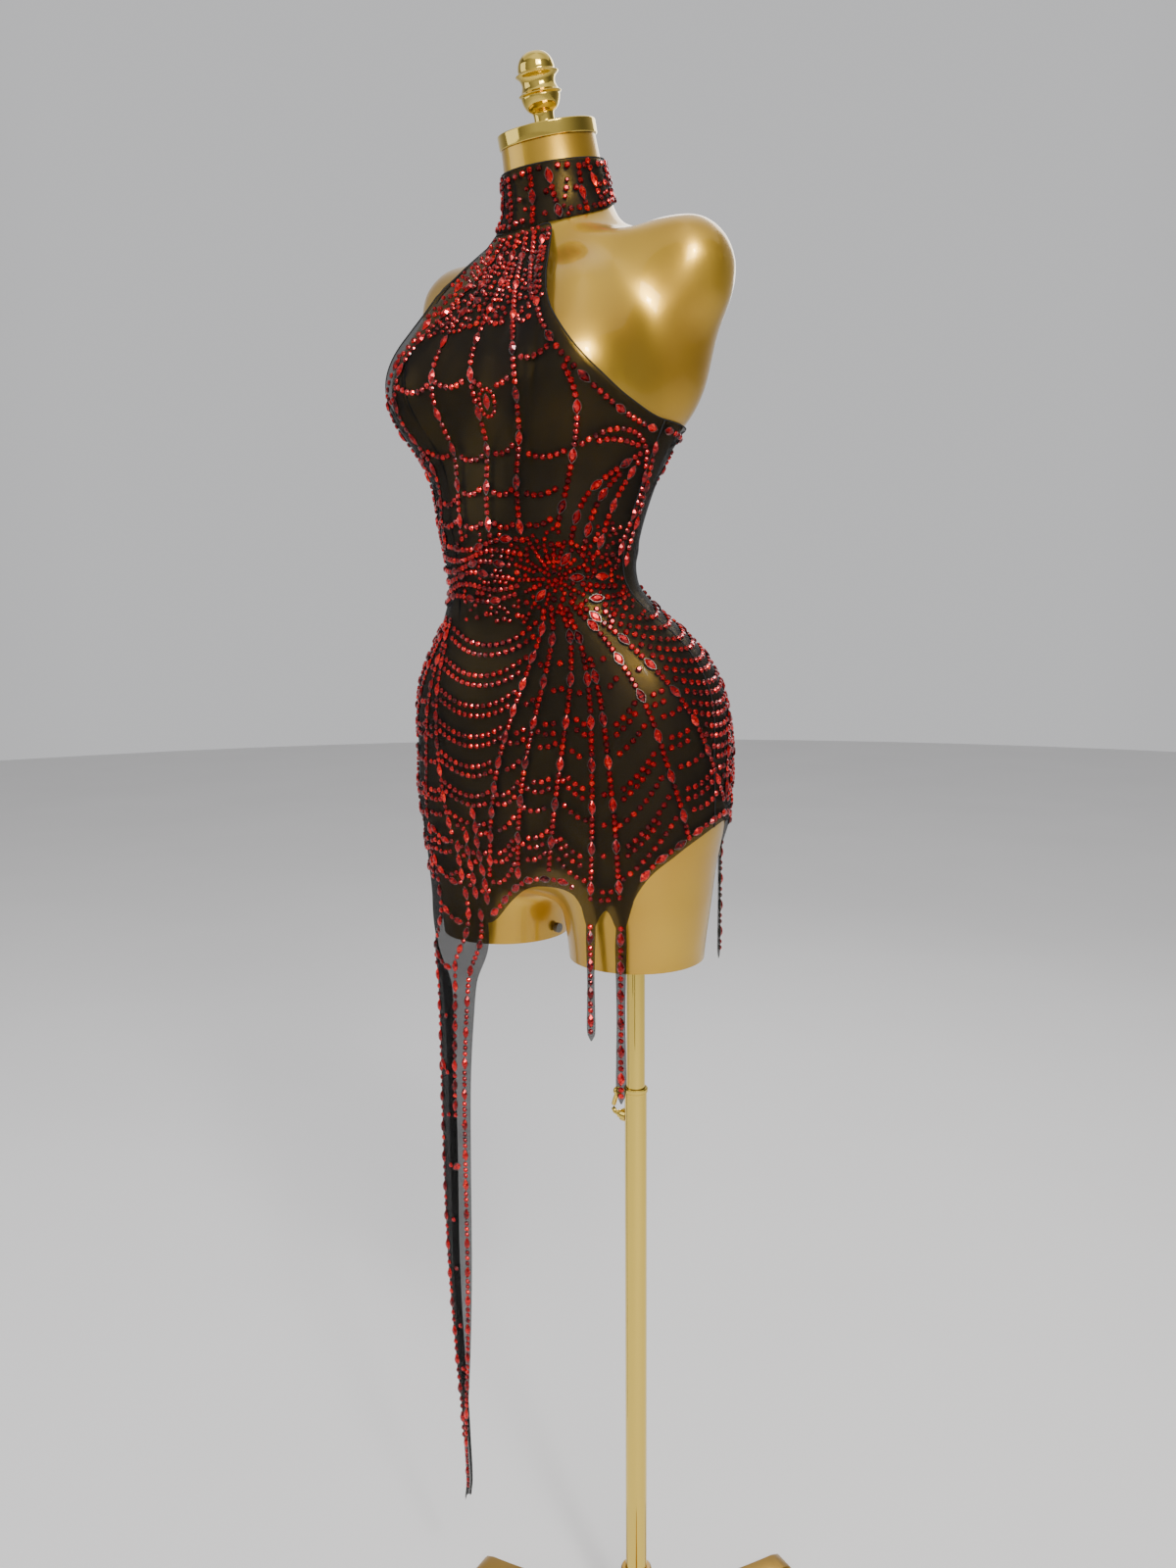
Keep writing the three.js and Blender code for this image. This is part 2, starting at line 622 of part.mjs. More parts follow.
function buildBackPanel() {
  const right = columnTurns(-180, -90, () => 10).slice(1).map((turn) => turn + 360);
  const panel = solidOf(panelGeometry([...columnTurns(90, 180, () => 10), ...right], 2));
  return geometryOf(hangFrom(panel, 'back'));
}

// A band round the neck whose edges slant down towards the front.
function buildCollar() {
  const edge = ({ z, slant }, turn) => z - slant * Math.cos(turn);
  const skinAt = (out) => evenly(0, 1, 4).map((share) => allRound(36).map((turn) => {
    const low = edge(COLLAR_FOOT, turn);
    const z = low + (edge(COLLAR_TOP, turn) - low) * share;
    const from = [0, neckPlace(z).y, z];
    return along(from, bearing(turn), reach(figure, from, bearing(turn), out));
  }));
  return wall(skinAt(CLOTH_GAP + CLOTH_WALL), skinAt(CLOTH_GAP), true);
}

// ---- The stand ----------------------------------------------------------------------------

function buildPost() {
  const low = HUB_FLOOR + SEAT_GAP;
  const bossX = CLAMP_BOSS_X;
  return geometryOf(solidOf(rod(POST_R, low, POST_TOP_Z, 32))
    .add(solidOf(rod(POST_R + 1, POST_TOP_Z - 4, POST_TOP_Z, 32)))
    .add(solidOf(crossRod(CLAMP_BOSS_R, bossX, -POST_BORE_R - 0.2).translate(0, 0, CLAMP_Z)))
    .subtract(solidOf(rod(POST_BORE_R, low - 1, POST_TOP_Z + 1, 32)))
    .subtract(solidOf(crossRod(SCREW_BORE_R, bossX - 1, 0).translate(0, 0, CLAMP_Z))));
}

function buildMast() {
  return turned([
    [0, MAST_TOP_Z - 4], [MAST_BORE_R, MAST_TOP_Z - 4], [MAST_BORE_R, MAST_FOOT_Z],
    [MAST_R, MAST_FOOT_Z], [MAST_R, MAST_TOP_Z], [0, MAST_TOP_Z],
  ], 32);
}

// A bent clamp screw: its shank presses on the mast, and its handle rises to a ball.
function buildLever() {
  const elbow = CLAMP_BOSS_X - 11;
  const route = new THREE.CatmullRomCurve3([
    new THREE.Vector3(CLAMP_BOSS_X - 2, 0, CLAMP_Z), new THREE.Vector3(elbow + 4, 0, CLAMP_Z),
    new THREE.Vector3(elbow, 0, CLAMP_Z + 3), new THREE.Vector3(elbow + 0.5, 0, CLAMP_Z + 8),
    new THREE.Vector3(elbow + 5, 0, CLAMP_Z + 22),
  ], false, 'centripetal');
  const section = new THREE.Shape().absarc(0, 0, LEVER_R, 0, 2 * Math.PI);
  const handle = new THREE.ExtrudeGeometry(section, {
    steps: 14, curveSegments: 5, bevelEnabled: false, extrudePath: route,
  });
  const ball = new THREE.SphereGeometry(LEVER_BALL_R, 14, 10).rotateX(Math.PI / 2);
  const shank = crossRod(SCREW_R, CLAMP_BOSS_X - 5, -MAST_R - SEAT_GAP - 0.2, 12);
  return geometryOf(solidOf(handle)
    .add(solidOf(ball.translate(elbow + 5, 0, CLAMP_Z + 23)))
    .add(solidOf(shank.translate(0, 0, CLAMP_Z))));
}

function buildHub() {
  const corner = HUB_FLAT / Math.cos(Math.PI / 6);
  const block = rod(corner, 0, HUB_H, 6).rotateZ(ARM_FIRST);
  const neck = turned([
    [0, HUB_H - 4], [HUB_FLAT - 3, HUB_H - 4], [HUB_FLAT - 3, HUB_H], [20, HUB_H + 12],
    [HUB_NECK_R, HUB_H + 30], [HUB_NECK_R, HUB_TOP_Z - 1.5], [HUB_NECK_R - 1.5, HUB_TOP_Z],
    [0, HUB_TOP_Z],
  ], 32);
  return geometryOf(solidOf(block).add(solidOf(neck))
    .subtract(solidOf(rod(POST_R + SEAT_GAP, HUB_FLOOR, HUB_TOP_Z + 5, 32))));
}

// A bar that tapers from the hub to a rounded toe.
function buildArm(index) {
  const side = new THREE.Shape();
  side.moveTo(HUB_FLAT + SEAT_GAP, 0);
  side.lineTo(ARM_REACH, 0);
  side.lineTo(ARM_REACH, 5);
  side.quadraticCurveTo(ARM_REACH - 2, 10, ARM_REACH - 12, 11);
  side.quadraticCurveTo(ARM_REACH - 70, 24, HUB_FLAT + SEAT_GAP, HUB_H - 2);
  const settings = { depth: ARM_WIDTH, bevelEnabled: false, curveSegments: 6 };
  const bar = new THREE.ExtrudeGeometry(side, settings);
  bar.rotateX(Math.PI / 2).translate(0, ARM_WIDTH / 2, 0);
  return bar.rotateZ(ARM_FIRST + (index * 2 * Math.PI) / ARM_COUNT);
}

// ---- Materials and assembly ---------------------------------------------------------------

function finish(color, roughness, metalness) {
  return new THREE.MeshStandardMaterial({ color, roughness, metalness });
}

const satinGold = finish(0xb08d2a, 0.35, 0.6);
const polishedGold = finish(0xc9a63a, 0.12, 1);
const paintedGold = finish(0xa8842f, 0.4, 0.8);
const steel = finish(0x77787a, 0.4, 1);
const blackMesh = finish(0x111111, 0.8, 0);
blackMesh.transparent = true;
blackMesh.opacity = 0.75;

const group = new THREE.Group();
const figureGroup = new THREE.Group();
figureGroup.position.x = MEDIAN_X;
group.add(figureGroup);

function addPiece(parent, name, geometry, material) {
  const mesh = new THREE.Mesh(geometry, material);
  mesh.name = name;
  parent.add(mesh);
}

addPiece(figureGroup, 'dress_form', buildForm(), satinGold);
addPiece(figureGroup, 'neck_cap', buildCap(), polishedGold);
addPiece(figureGroup, 'finial', buildFinial(), polishedGold);
addPiece(figureGroup, 'stump_bolt', buildBolt(), steel);
addPiece(figureGroup, 'collar', buildCollar(), blackMesh);
addPiece(figureGroup, 'front_panel', buildFrontPanel(), blackMesh);
addPiece(figureGroup, 'back_panel', buildBackPanel(), blackMesh);
addPiece(group, 'post', buildPost(), polishedGold);
addPiece(group, 'mast', buildMast(), polishedGold);
addPiece(group, 'clamp_lever', buildLever(), polishedGold);
addPiece(group, 'hub', buildHub(), paintedGold);
for (let index = 0; index < ARM_COUNT; index += 1) {
  addPiece(group, `arm_${index + 1}`, buildArm(index), paintedGold);
}

export default group;
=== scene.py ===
"""Looks of a crystal mesh halter dress on a gold dress form with a telescopic pole.

Metres, +Z up. The form faces -Y and its own left side is +X. Turns are in degrees round the form's
upright axis: 0 is the front, 90 its left side, 180 the back. Heights in the tables are millimetres.
"""

import logging
import math
import random
from dataclasses import dataclass, field
from enum import Enum
from typing import Any, Callable, Iterable, Sequence

import bmesh
import bpy
import numpy as np
from mathutils import Matrix, Vector
from mathutils.bvhtree import BVHTree


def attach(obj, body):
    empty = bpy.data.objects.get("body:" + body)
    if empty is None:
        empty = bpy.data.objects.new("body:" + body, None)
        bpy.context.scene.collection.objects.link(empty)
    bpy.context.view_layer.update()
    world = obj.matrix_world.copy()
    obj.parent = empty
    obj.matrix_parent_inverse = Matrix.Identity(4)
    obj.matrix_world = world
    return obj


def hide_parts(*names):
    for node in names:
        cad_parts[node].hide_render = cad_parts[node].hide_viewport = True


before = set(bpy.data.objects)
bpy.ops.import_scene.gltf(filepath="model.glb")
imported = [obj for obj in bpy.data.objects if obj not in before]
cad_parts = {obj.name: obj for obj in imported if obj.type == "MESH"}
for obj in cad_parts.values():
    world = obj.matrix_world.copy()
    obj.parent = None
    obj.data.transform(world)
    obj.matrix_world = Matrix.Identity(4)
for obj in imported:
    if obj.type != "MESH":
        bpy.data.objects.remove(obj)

log = logging.getLogger("dress")

MM = 0.001

Point2 = tuple[float, float]

# ---- The figure's axes and the dress's cut edges ----------------------------------------------

MEDIAN_X = -85 * MM
THIGH_X = 85 * MM
THIGH_Y = 2 * MM
STUMP_Z = 757 * MM

# (height, y): the axis that turns are measured round.
SPINE = (
    (790, 0), (1000, 0), (1040, -3), (1070, -10), (1095, -25), (1120, -35), (1160, -37),
    (1200, -32), (1240, -25), (1280, -17), (1320, -10), (1360, -5), (1400, -1), (1430, 1),
    (1460, -1), (1500, -12),
)
# (turn, height): the upper edge, the same on both sides.
TOP_EDGE = (
    (0, 1429), (20, 1430), (30, 1430), (32, 1422), (33, 1400), (34, 1368), (36, 1348), (38, 1336),
    (44, 1312), (50, 1295), (56, 1283), (62, 1274), (68, 1268), (80, 1260), (90, 1256), (130, 1250),
    (180, 1246),
)
# (turn, height): the hem.
HEM = (
    (-180, 866), (-150, 868), (-125, 870), (-110, 852), (-98, 815), (-90, 800), (-48, 797), (-37, 795),
    (-30, 789), (-27, 786), (-20, 791), (-5, 812), (12, 829), (30, 835), (41, 832), (45.5, 820),
    (47.4, 804), (51, 804), (52.4, 813), (54.6, 820), (56.6, 813), (58, 804), (61.2, 806), (63.4, 831),
    (68, 853), (74.6, 869), (81.8, 883), (90, 893), (97, 896), (105, 891), (110, 880), (113.5, 866),
    (116.5, 866), (121, 878), (135, 874), (150, 869), (180, 866),
)
# (height, free edge, fold, return of the layer behind, share folded): turns round the right thigh.
TAIL = (
    (132, -2.5, -3.5, 0.5, 1), (152, 2, -1.8, 1, 1), (200, 0.8, -4, 2, 1), (245, 1.8, -6.6, 3.5, 1),
    (290, 4, -11, 6, 1), (400, 8, -17.5, 10, 1), (520, 10.6, -21.3, 13, 1),
    (620, 12.5, -25.7, 15, 1), (690, 16, -28.8, 18, 1), (720, 18.5, -31, 20, 0.9),
    (745, 24, -40, 20, 0.6), (768, 30, -50, 20, 0.25), (786, 35, -68, 20, 0.06),
    (806, 40, -88, 20, 0),
)
TAIL_FRONT_TURN = -27
TAIL_BACK_TURN = -88
TAIL_FOLD_R = 4 * MM


@dataclass(frozen=True)
class Drip:
    """A narrow point of the hem: its turns, and its root, tip and width in millimetres."""

    turn: float
    low_turn: float
    high_turn: float
    root: float
    tip: float
    width: float


FRONT_DRIPS = (Drip(49.2, 47.4, 51, 804, 693, 11), Drip(59.6, 58, 61.2, 805, 636, 12))
BACK_DRIPS = (Drip(115, 113.5, 116.5, 866, 748, 10),)
# (share of the height from the tip, share of the width)
DRIP_SHARES = ((0, 0.1), (0.06, 0.75), (0.25, 0.8), (0.5, 0.7), (0.8, 0.85), (1, 1))


def curve(table: Sequence[Sequence[float]], at: float, column: int = 1) -> float:
    """Cubic through a table's column, keyed by its first, with slopes from the next rows.

    Args:
        table: rows sorted by their first value.
        at: the key, held inside the table.
        column: which column to read.

    Returns:
        The column's value there.
    """
    last = len(table) - 1
    place = min(max(at, table[0][0]), table[last][0])
    i = 0
    while i < last - 1 and table[i + 1][0] < place:
        i += 1

    def slope(k: int) -> float:
        """Slope at a row, from the rows beside it."""
        low, high = table[max(k - 1, 0)], table[min(k + 1, last)]
        return (high[column] - low[column]) / (high[0] - low[0])

    span = table[i + 1][0] - table[i][0]
    t = (place - table[i][0]) / span
    ease = t * t * (3 - 2 * t)
    bend = span * t * (1 - t) * (slope(i) * (1 - t) - slope(i + 1) * t)
    return table[i][column] * (1 - ease) + table[i + 1][column] * ease + bend


def wrapped(turn: float) -> float:
    """The same turn between -180 and 180 degrees."""
    return (turn + 180) % 360 - 180


def hem_z(turn: float) -> float:
    """Height of the hem at a turn, in metres."""
    return curve(HEM, wrapped(turn)) * MM


def top_z(turn: float) -> float:
    """Height of the upper edge at a turn, in metres."""
    return curve(TOP_EDGE, abs(wrapped(turn))) * MM


def axis_point(z: float) -> Vector:
    """The point of the figure's axis at a height in metres."""
    return Vector((MEDIAN_X, curve(SPINE, z / MM) * MM, z))


def bearing(turn: float) -> Vector:
    """Level direction at a turn in degrees."""
    angle = math.radians(turn)
    return Vector((math.sin(angle), -math.cos(angle), 0))


def eased(t: float) -> float:
    """A smooth step from 0 to 1."""
    t = min(max(t, 0.0), 1.0)
    return t * t * (3 - 2 * t)


def evenly(low: float, high: float, count: int) -> list[float]:
    """Count numbers from low to high."""
    return [low + (high - low) * i / (count - 1) for i in range(count)]


# ---- Colours and nodes ------------------------------------------------------------------------


def linear(colour: str) -> tuple[float, float, float, float]:
    """An sRGB hex colour as linear light.

    Args:
        colour: six hex digits after a hash.

    Returns:
        Red, green, blue and a full alpha.
    """
    parts = [int(colour[i:i + 2], 16) / 255 for i in (1, 3, 5)]
    red, green, blue = (c / 12.92 if c <= 0.04045 else ((c + 0.055) / 1.055) ** 2.4 for c in parts)
    return red, green, blue, 1.0


def feed(tree: bpy.types.NodeTree, node: bpy.types.Node, **inputs: Any) -> None:
    """Sets or links a node's inputs.

    Args:
        tree: the node tree.
        node: one of its nodes.
        inputs: values or output sockets, keyed by the input's name with _ for a space, or by
            "in" and its number.
    """
    for name, value in inputs.items():
        key = int(name[2:]) if name[2:].isdigit() and name.startswith("in") else name.replace("_", " ")
        if isinstance(value, bpy.types.NodeSocket):
            tree.links.new(value, node.inputs[key])
        else:
            node.inputs[key].default_value = value


def add_node(tree: bpy.types.NodeTree, kind: str, settings: dict[str, Any] | None = None,
             **inputs: Any) -> bpy.types.Node:
    """Adds a node, sets its properties, and sets or links its inputs.

    Args:
        tree: the node tree.
        kind: the node's type, without the ShaderNode that it starts with.
        settings: properties of the node, or "stops" with a ramp's positions and hex colours.
        inputs: as feed takes them.

    Returns:
        The node.
    """
    node = tree.nodes.new("ShaderNode" + kind)
    for name, value in (settings or {}).items():
        if name == "stops":
            elements = node.color_ramp.elements
            while len(elements) < len(value):
                elements.new(0.5)
            for element, (position, colour) in zip(elements, value):
                element.position = position
                element.color = linear(colour)
        else:
            setattr(node, name, value)
    feed(tree, node, **inputs)
    return node


def new_material(name: str) -> tuple[bpy.types.Material, bpy.types.NodeTree, bpy.types.Node]:
    """A material with a bare Principled shader, its tree and the shader.

    Args:
        name: the material's name.

    Returns:
        The material, the tree and the shader.
    """
    material = bpy.data.materials.new(name)
    material.use_nodes = True
    tree = material.node_tree
    return material, tree, tree.nodes["Principled BSDF"]


# ---- Finishes ---------------------------------------------------------------------------------


@dataclass(frozen=True)
class SatinGoldPaint:
    """Metallic gold paint under clear lacquer on a moulded shell: a soft glow with crisp lights."""

    name: str = "satin_gold_paint"
    light: str = "#d2a834"
    deep: str = "#bf932a"
    flake: float = 0.5 * MM  # real flakes are 0.05 mm, too fine to show
    cloud: float = 90 * MM

    def material(self) -> bpy.types.Material:
        """The paint as a material.

        Returns:
            The material.
        """
        material, tree, shader = new_material(self.name)
        place = add_node(tree, "TexCoord").outputs["Object"]
        cloud = add_node(tree, "TexNoise", None, Vector=place, Scale=1 / self.cloud, Detail=1.0)
        tone = add_node(tree, "ValToRGB", {"stops": ((0.3, self.deep), (0.7, self.light))},
                        Fac=cloud.outputs["Fac"])
        flakes = add_node(tree, "TexNoise", None, Vector=place, Scale=1 / self.flake, Detail=1.0)
        bump = add_node(tree, "Bump", None, Strength=0.04, Distance=0.1 * MM, Height=flakes.outputs["Fac"])
        feed(tree, shader, Base_Color=tone.outputs["Color"], Normal=bump.outputs["Normal"],
             Metallic=0.86, Roughness=0.33, Coat_Weight=0.6, Coat_Roughness=0.05)
        return material


@dataclass(frozen=True)
class PolishedGoldPlate:
    """Gold plating on polished metal: mirror-like, with faint buffing marks along one direction."""

    name: str = "polished_gold_plate"
    colour: str = "#e0c25c"
    mark: float = 1.2 * MM
    stretch: float = 40.0
    roughness: float = 0.09

    def material(self) -> bpy.types.Material:
        """The plating as a material.

        Returns:
            The material.
        """
        material, tree, shader = new_material(self.name)
        place = add_node(tree, "TexCoord").outputs["Object"]
        along = add_node(tree, "Mapping", None, Vector=place, Scale=(1.0, 1.0, 1 / self.stretch))
        marks = add_node(tree, "TexNoise", None, Vector=along.outputs["Vector"], Scale=1 / self.mark,
                         Detail=3.0)
        rough = add_node(tree, "MapRange", None, Value=marks.outputs["Fac"],
                         To_Min=self.roughness * 0.6, To_Max=self.roughness * 1.6)
        bump = add_node(tree, "Bump", None, Strength=0.04, Distance=0.05 * MM, Height=marks.outputs["Fac"])
        feed(tree, shader, Base_Color=linear(self.colour), Roughness=rough.outputs["Result"],
             Normal=bump.outputs["Normal"], Metallic=1.0)
        return material


@dataclass(frozen=True)
class StretchMesh:
    """Fine knitted net in black nylon: sheer, matt, a little lighter where it is stretched."""

    name: str = "black_stretch_mesh"
    yarn: str = "#040404"
    stretched: str = "#070706"
    course: float = 1.6 * MM  # real holes are 0.4 mm apart, too fine to show
    clear_low: float = 0.57
    clear_high: float = 0.61

    def material(self) -> bpy.types.Material:
        """The net as a material whose pattern follows the cloth's own coordinates.

        Returns:
            The material.
        """
        material, tree, shader = new_material(self.name)
        flat = add_node(tree, "UVMap", {"uv_map": "flat"}).outputs["UV"]
        waves = [
            add_node(tree, "TexWave", {"bands_direction": way, "wave_profile": "SIN"}, Vector=flat,
                     Scale=math.pi / 10 / self.course, Distortion=0.3)
            for way in ("X", "Y")
        ]
        net = add_node(tree, "Math", {"operation": "MULTIPLY"}, in0=waves[0].outputs["Fac"],
                       in1=waves[1].outputs["Fac"])
        drift = add_node(tree, "TexNoise", None, Vector=flat, Scale=1 / (45 * MM), Detail=2.0)
        tone = add_node(tree, "ValToRGB", {"stops": ((0.35, self.yarn), (0.7, self.stretched))},
                        Fac=drift.outputs["Fac"])
        spread = add_node(tree, "MapRange", None, Value=drift.outputs["Fac"], From_Min=0.3, From_Max=0.7,
                          To_Min=self.clear_high, To_Max=self.clear_low)
        holes = add_node(tree, "Math", {"operation": "MULTIPLY"}, in0=net.outputs["Value"], in1=0.08)
        cover = add_node(tree, "Math", {"operation": "SUBTRACT"}, in0=spread.outputs["Result"],
                         in1=holes.outputs["Value"])
        bump = add_node(tree, "Bump", None, Strength=0.25, Distance=0.2 * MM, Height=net.outputs["Value"])
        feed(tree, shader, Base_Color=tone.outputs["Color"], Alpha=cover.outputs["Value"],
             Normal=bump.outputs["Normal"], Roughness=0.7, Specular_IOR_Level=0.2)
        return material


@dataclass(frozen=True)
class ElasticTape:
    """Matt black woven elastic that binds the cut edges and the seams."""

    name: str = "black_elastic_tape"
    colour: str = "#050505"
    worn: str = "#0c0b0b"
    rib: float = 1.5 * MM

    def material(self) -> bpy.types.Material:
        """The tape as a material.

        Returns:
            The material.
        """
        material, tree, shader = new_material(self.name)
        place = add_node(tree, "TexCoord").outputs["Object"]
        ribs = add_node(tree, "TexWave", {"bands_direction": "Z"}, Vector=place,
                        Scale=math.pi / 10 / self.rib, Distortion=0.5)
        bump = add_node(tree, "Bump", None, Strength=0.4, Distance=0.2 * MM, Height=ribs.outputs["Fac"])
        tone = add_node(tree, "ValToRGB", {"stops": ((0.0, self.colour), (1.0, self.worn))},
                        Fac=ribs.outputs["Fac"])
        feed(tree, shader, Base_Color=tone.outputs["Color"], Normal=bump.outputs["Normal"], Roughness=0.8)
        return material


@dataclass(frozen=True)
class FoiledCrystal:
    """Cut glass with a foil back: deep red under a clear hard surface, with painted glints: each facet's
    colour is painted darker or lighter, up to small painted fiery highlights, in place of the light that its
    foil throws back.
    """

    name: str = "foiled_red_crystal"
    painted_dark_shade: str = "#300105"
    body: str = "#a0040e"
    bright: str = "#e60c10"
    painted_glint_colour: str = "#ff3a18"

    def material(self) -> bpy.types.Material:
        """The glass as a material; each facet's painted glint level paints its colour from painted dark shade
        through the glass's own red to painted highlights, in place of the light that its foil throws back.

        Returns:
            The material.
        """
        material, tree, shader = new_material(self.name)
        # Painted reflection: a random level on each facet picks its colour, from painted dark shade through
        # the glass's own red body colour to painted bright and fiery highlights.
        spark = add_node(tree, "Attribute", {"attribute_name": "spark"})
        stops = (0.1, self.painted_dark_shade), (0.5, self.body), (0.8, self.bright), (0.97, self.painted_glint_colour)
        tone = add_node(tree, "ValToRGB", {"stops": stops}, Fac=spark.outputs["Fac"])
        feed(tree, shader, Base_Color=tone.outputs["Color"], Metallic=0.7, Roughness=0.18, Coat_Weight=0.25,
             Coat_Roughness=0.03)
        return material


@dataclass(frozen=True)
class ClawPlate:
    """Silver-coloured plating on thin stamped brass: bright and slightly worn."""

    name: str = "silver_claw_plate"
    light: str = "#7f7b77"
    worn: str = "#4c4742"

    def material(self) -> bpy.types.Material:
        """The plating as a material.

        Returns:
            The material.
        """
        material, tree, shader = new_material(self.name)
        place = add_node(tree, "TexCoord").outputs["Object"]
        wear = add_node(tree, "TexNoise", None, Vector=place, Scale=1 / (2 * MM), Detail=2.0)
        tone = add_node(tree, "ValToRGB", {"stops": ((0.35, self.worn), (0.6, self.light))},
                        Fac=wear.outputs["Fac"])
        rough = add_node(tree, "MapRange", None, Value=wear.outputs["Fac"], To_Min=0.35, To_Max=0.18)
        feed(tree, shader, Base_Color=tone.outputs["Color"], Roughness=rough.outputs["Result"], Metallic=1.0)
        return material


@dataclass(frozen=True)
class PlainSteel:
    """Turned zinc-plated steel: grey, with fine turning marks."""

    name: str = "turned_steel"
    groove: str = "#5e5e5c"
    ridge: str = "#8b8b88"

    def material(self) -> bpy.types.Material:
        """The steel as a material.

        Returns:
            The material.
        """
        material, tree, shader = new_material(self.name)
        place = add_node(tree, "TexCoord").outputs["Object"]
        marks = add_node(tree, "TexNoise", None, Vector=place, Scale=1 / (0.8 * MM), Detail=3.0)
        tone = add_node(tree, "ValToRGB", {"stops": ((0.3, self.groove), (0.7, self.ridge))},
                        Fac=marks.outputs["Fac"])
        feed(tree, shader, Base_Color=tone.outputs["Color"], Metallic=1.0, Roughness=0.35)
        return material


@dataclass(frozen=True)
class StudioFloor:
    """A smooth pale studio floor."""

    name: str = "studio_floor"
    shade: str = "#f1f0f0"
    light: str = "#f6f5f5"

    def material(self) -> bpy.types.Material:
        """The floor as a material.

        Returns:
            The material.
        """
        material, tree, shader = new_material(self.name)
        place = add_node(tree, "TexCoord").outputs["Object"]
        cloud = add_node(tree, "TexNoise", None, Vector=place, Scale=1.5, Detail=3.0)
        tone = add_node(tree, "ValToRGB", {"stops": ((0.2, self.shade), (0.8, self.light))},
                        Fac=cloud.outputs["Fac"])
        feed(tree, shader, Base_Color=tone.outputs["Color"], Roughness=0.6)
        return material


# ---- Mesh helpers -----------------------------------------------------------------------------


def publish(bm: bmesh.types.BMesh, name: str, material: bpy.types.Material,
            angle: float | None = None) -> bpy.types.Object:
    """Makes a scene object of a bmesh and frees the bmesh.

    Args:
        bm: the shape, in place.
        name: the object's name.
        material: its material.
        angle: edges sharper than this many degrees stay crisp.

    Returns:
        The object.
    """
    for face in bm.faces:
        face.smooth = True
    if angle is not None:
        for edge in bm.edges:
            edge.smooth = not edge.is_manifold or edge.calc_face_angle(0.0) < math.radians(angle)
    mesh = bpy.data.meshes.new(name)
    bm.to_mesh(mesh)
    bm.free()
    mesh.materials.append(material)
    piece = bpy.data.objects.new(name, mesh)
    bpy.context.collection.objects.link(piece)
    return piece


def settle(piece: bpy.types.Object, body: str, nodes: Iterable[str] = ()) -> bpy.types.Object:
    """Rides a piece on its body and the nodes that it stands for, and logs it.

    Args:
        piece: the finished object.
        body: the body that carries it.
        nodes: the nodes that it replaces.

    Returns:
        The piece.
    """
    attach(piece, body)
    if nodes:
        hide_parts(*nodes)
    log.info("%s: %d faces on %s", piece.name, len(piece.data.polygons), body)
    return piece


def merged_node(name: str) -> bmesh.types.BMesh:
    """A copy of a CAD node's mesh with its loose triangles joined.

    Args:
        name: the node's name.

    Returns:
        A new bmesh.
    """
    bm = bmesh.new()
    bm.from_mesh(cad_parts[name].data)
    bmesh.ops.remove_doubles(bm, verts=bm.verts, dist=0.01 * MM)
    return bm


def node_tree(names: Iterable[str]) -> BVHTree:
    """A search tree of some CAD nodes' faces.

    Args:
        names: the nodes' names.

    Returns:
        The tree.
    """
    bm = bmesh.new()
    for name in names:
        bm.from_mesh(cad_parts[name].data)
    tree = BVHTree.FromBMesh(bm)
    bm.free()
    return tree


def thicken(piece: bpy.types.Object, thickness: float) -> None:
    """Gives a sheet its thickness, inside its faces.

    Args:
        piece: the sheet.
        thickness: in metres.
    """
    solid = piece.modifiers.new("thickness", "SOLIDIFY")
    solid.thickness = thickness
    solid.offset = -1.0
    solid.use_even_offset = False


def turned_shape(bm: bmesh.types.BMesh, profile: Sequence[Point2], steps: int,
                 place: Matrix = Matrix.Identity(4)) -> None:
    """Spins a profile round Z into a closed shape.

    Args:
        bm: where the shape is added.
        profile: radius and height of each point, in metres, from the axis and back to it.
        steps: faces round the shape.
        place: where the shape goes.
    """
    verts = [bm.verts.new((radius, 0, z)) for radius, z in profile]
    edges = [bm.edges.new(pair) for pair in zip(verts, verts[1:])]
    bmesh.ops.spin(bm, geom=verts + edges, cent=(0, 0, 0), axis=(0, 0, 1), steps=steps,
                   angle=2 * math.pi, use_merge=True)
    shape = connected(verts)
    bmesh.ops.remove_doubles(bm, verts=list(shape), dist=0.001 * MM)
    shape = [v for v in shape if v.is_valid]
    faces = list({f for v in shape for f in v.link_faces})
    bmesh.ops.recalc_face_normals(bm, faces=faces)
    bmesh.ops.transform(bm, matrix=place, verts=shape)


def connected(seed: Iterable[bmesh.types.BMVert]) -> set[bmesh.types.BMVert]:
    """Every vertex joined to the given ones by edges.

    Args:
        seed: vertices to start from.

    Returns:
        Those and all that are joined to them.
    """
    found = set(seed)
    queue = list(found)
    while queue:
        vert = queue.pop()
        for edge in vert.link_edges:
            other = edge.other_vert(vert)
            if other not in found:
                found.add(other)
                queue.append(other)
    return found


def smooth_line(points: Sequence[Point2], per_span: int) -> list[Point2]:
    """A smooth line through flat points.

    Args:
        points: the points that it passes.
        per_span: points for each span of the given line.

    Returns:
        The line's points, the given ones among them.
    """
    smooth: list[Point2] = []
    last = len(points) - 1
    for i in range(last):
        before, a, b, after = (points[min(max(k, 0), last)] for k in (i - 1, i, i + 1, i + 2))
        for step in range(per_span):
            t = step / per_span
            weights = (-t ** 3 + 2 * t * t - t, 3 * t ** 3 - 5 * t * t + 2,
                       -3 * t ** 3 + 4 * t * t + t, t ** 3 - t * t)
            x, y = (sum(w * p[k] for w, p in zip(weights, (before, a, b, after))) / 2 for k in (0, 1))
            smooth.append((x, y))
    smooth.append(points[last])
    return smooth


def rounded_profile(points: Sequence[Point2], per_span: int) -> list[Point2]:
    """The same smooth line for a turned profile: from millimetres to metres, kept off the far side."""
    return [(max(x, 0.0) * MM, z * MM) for x, z in smooth_line(points, per_span)]


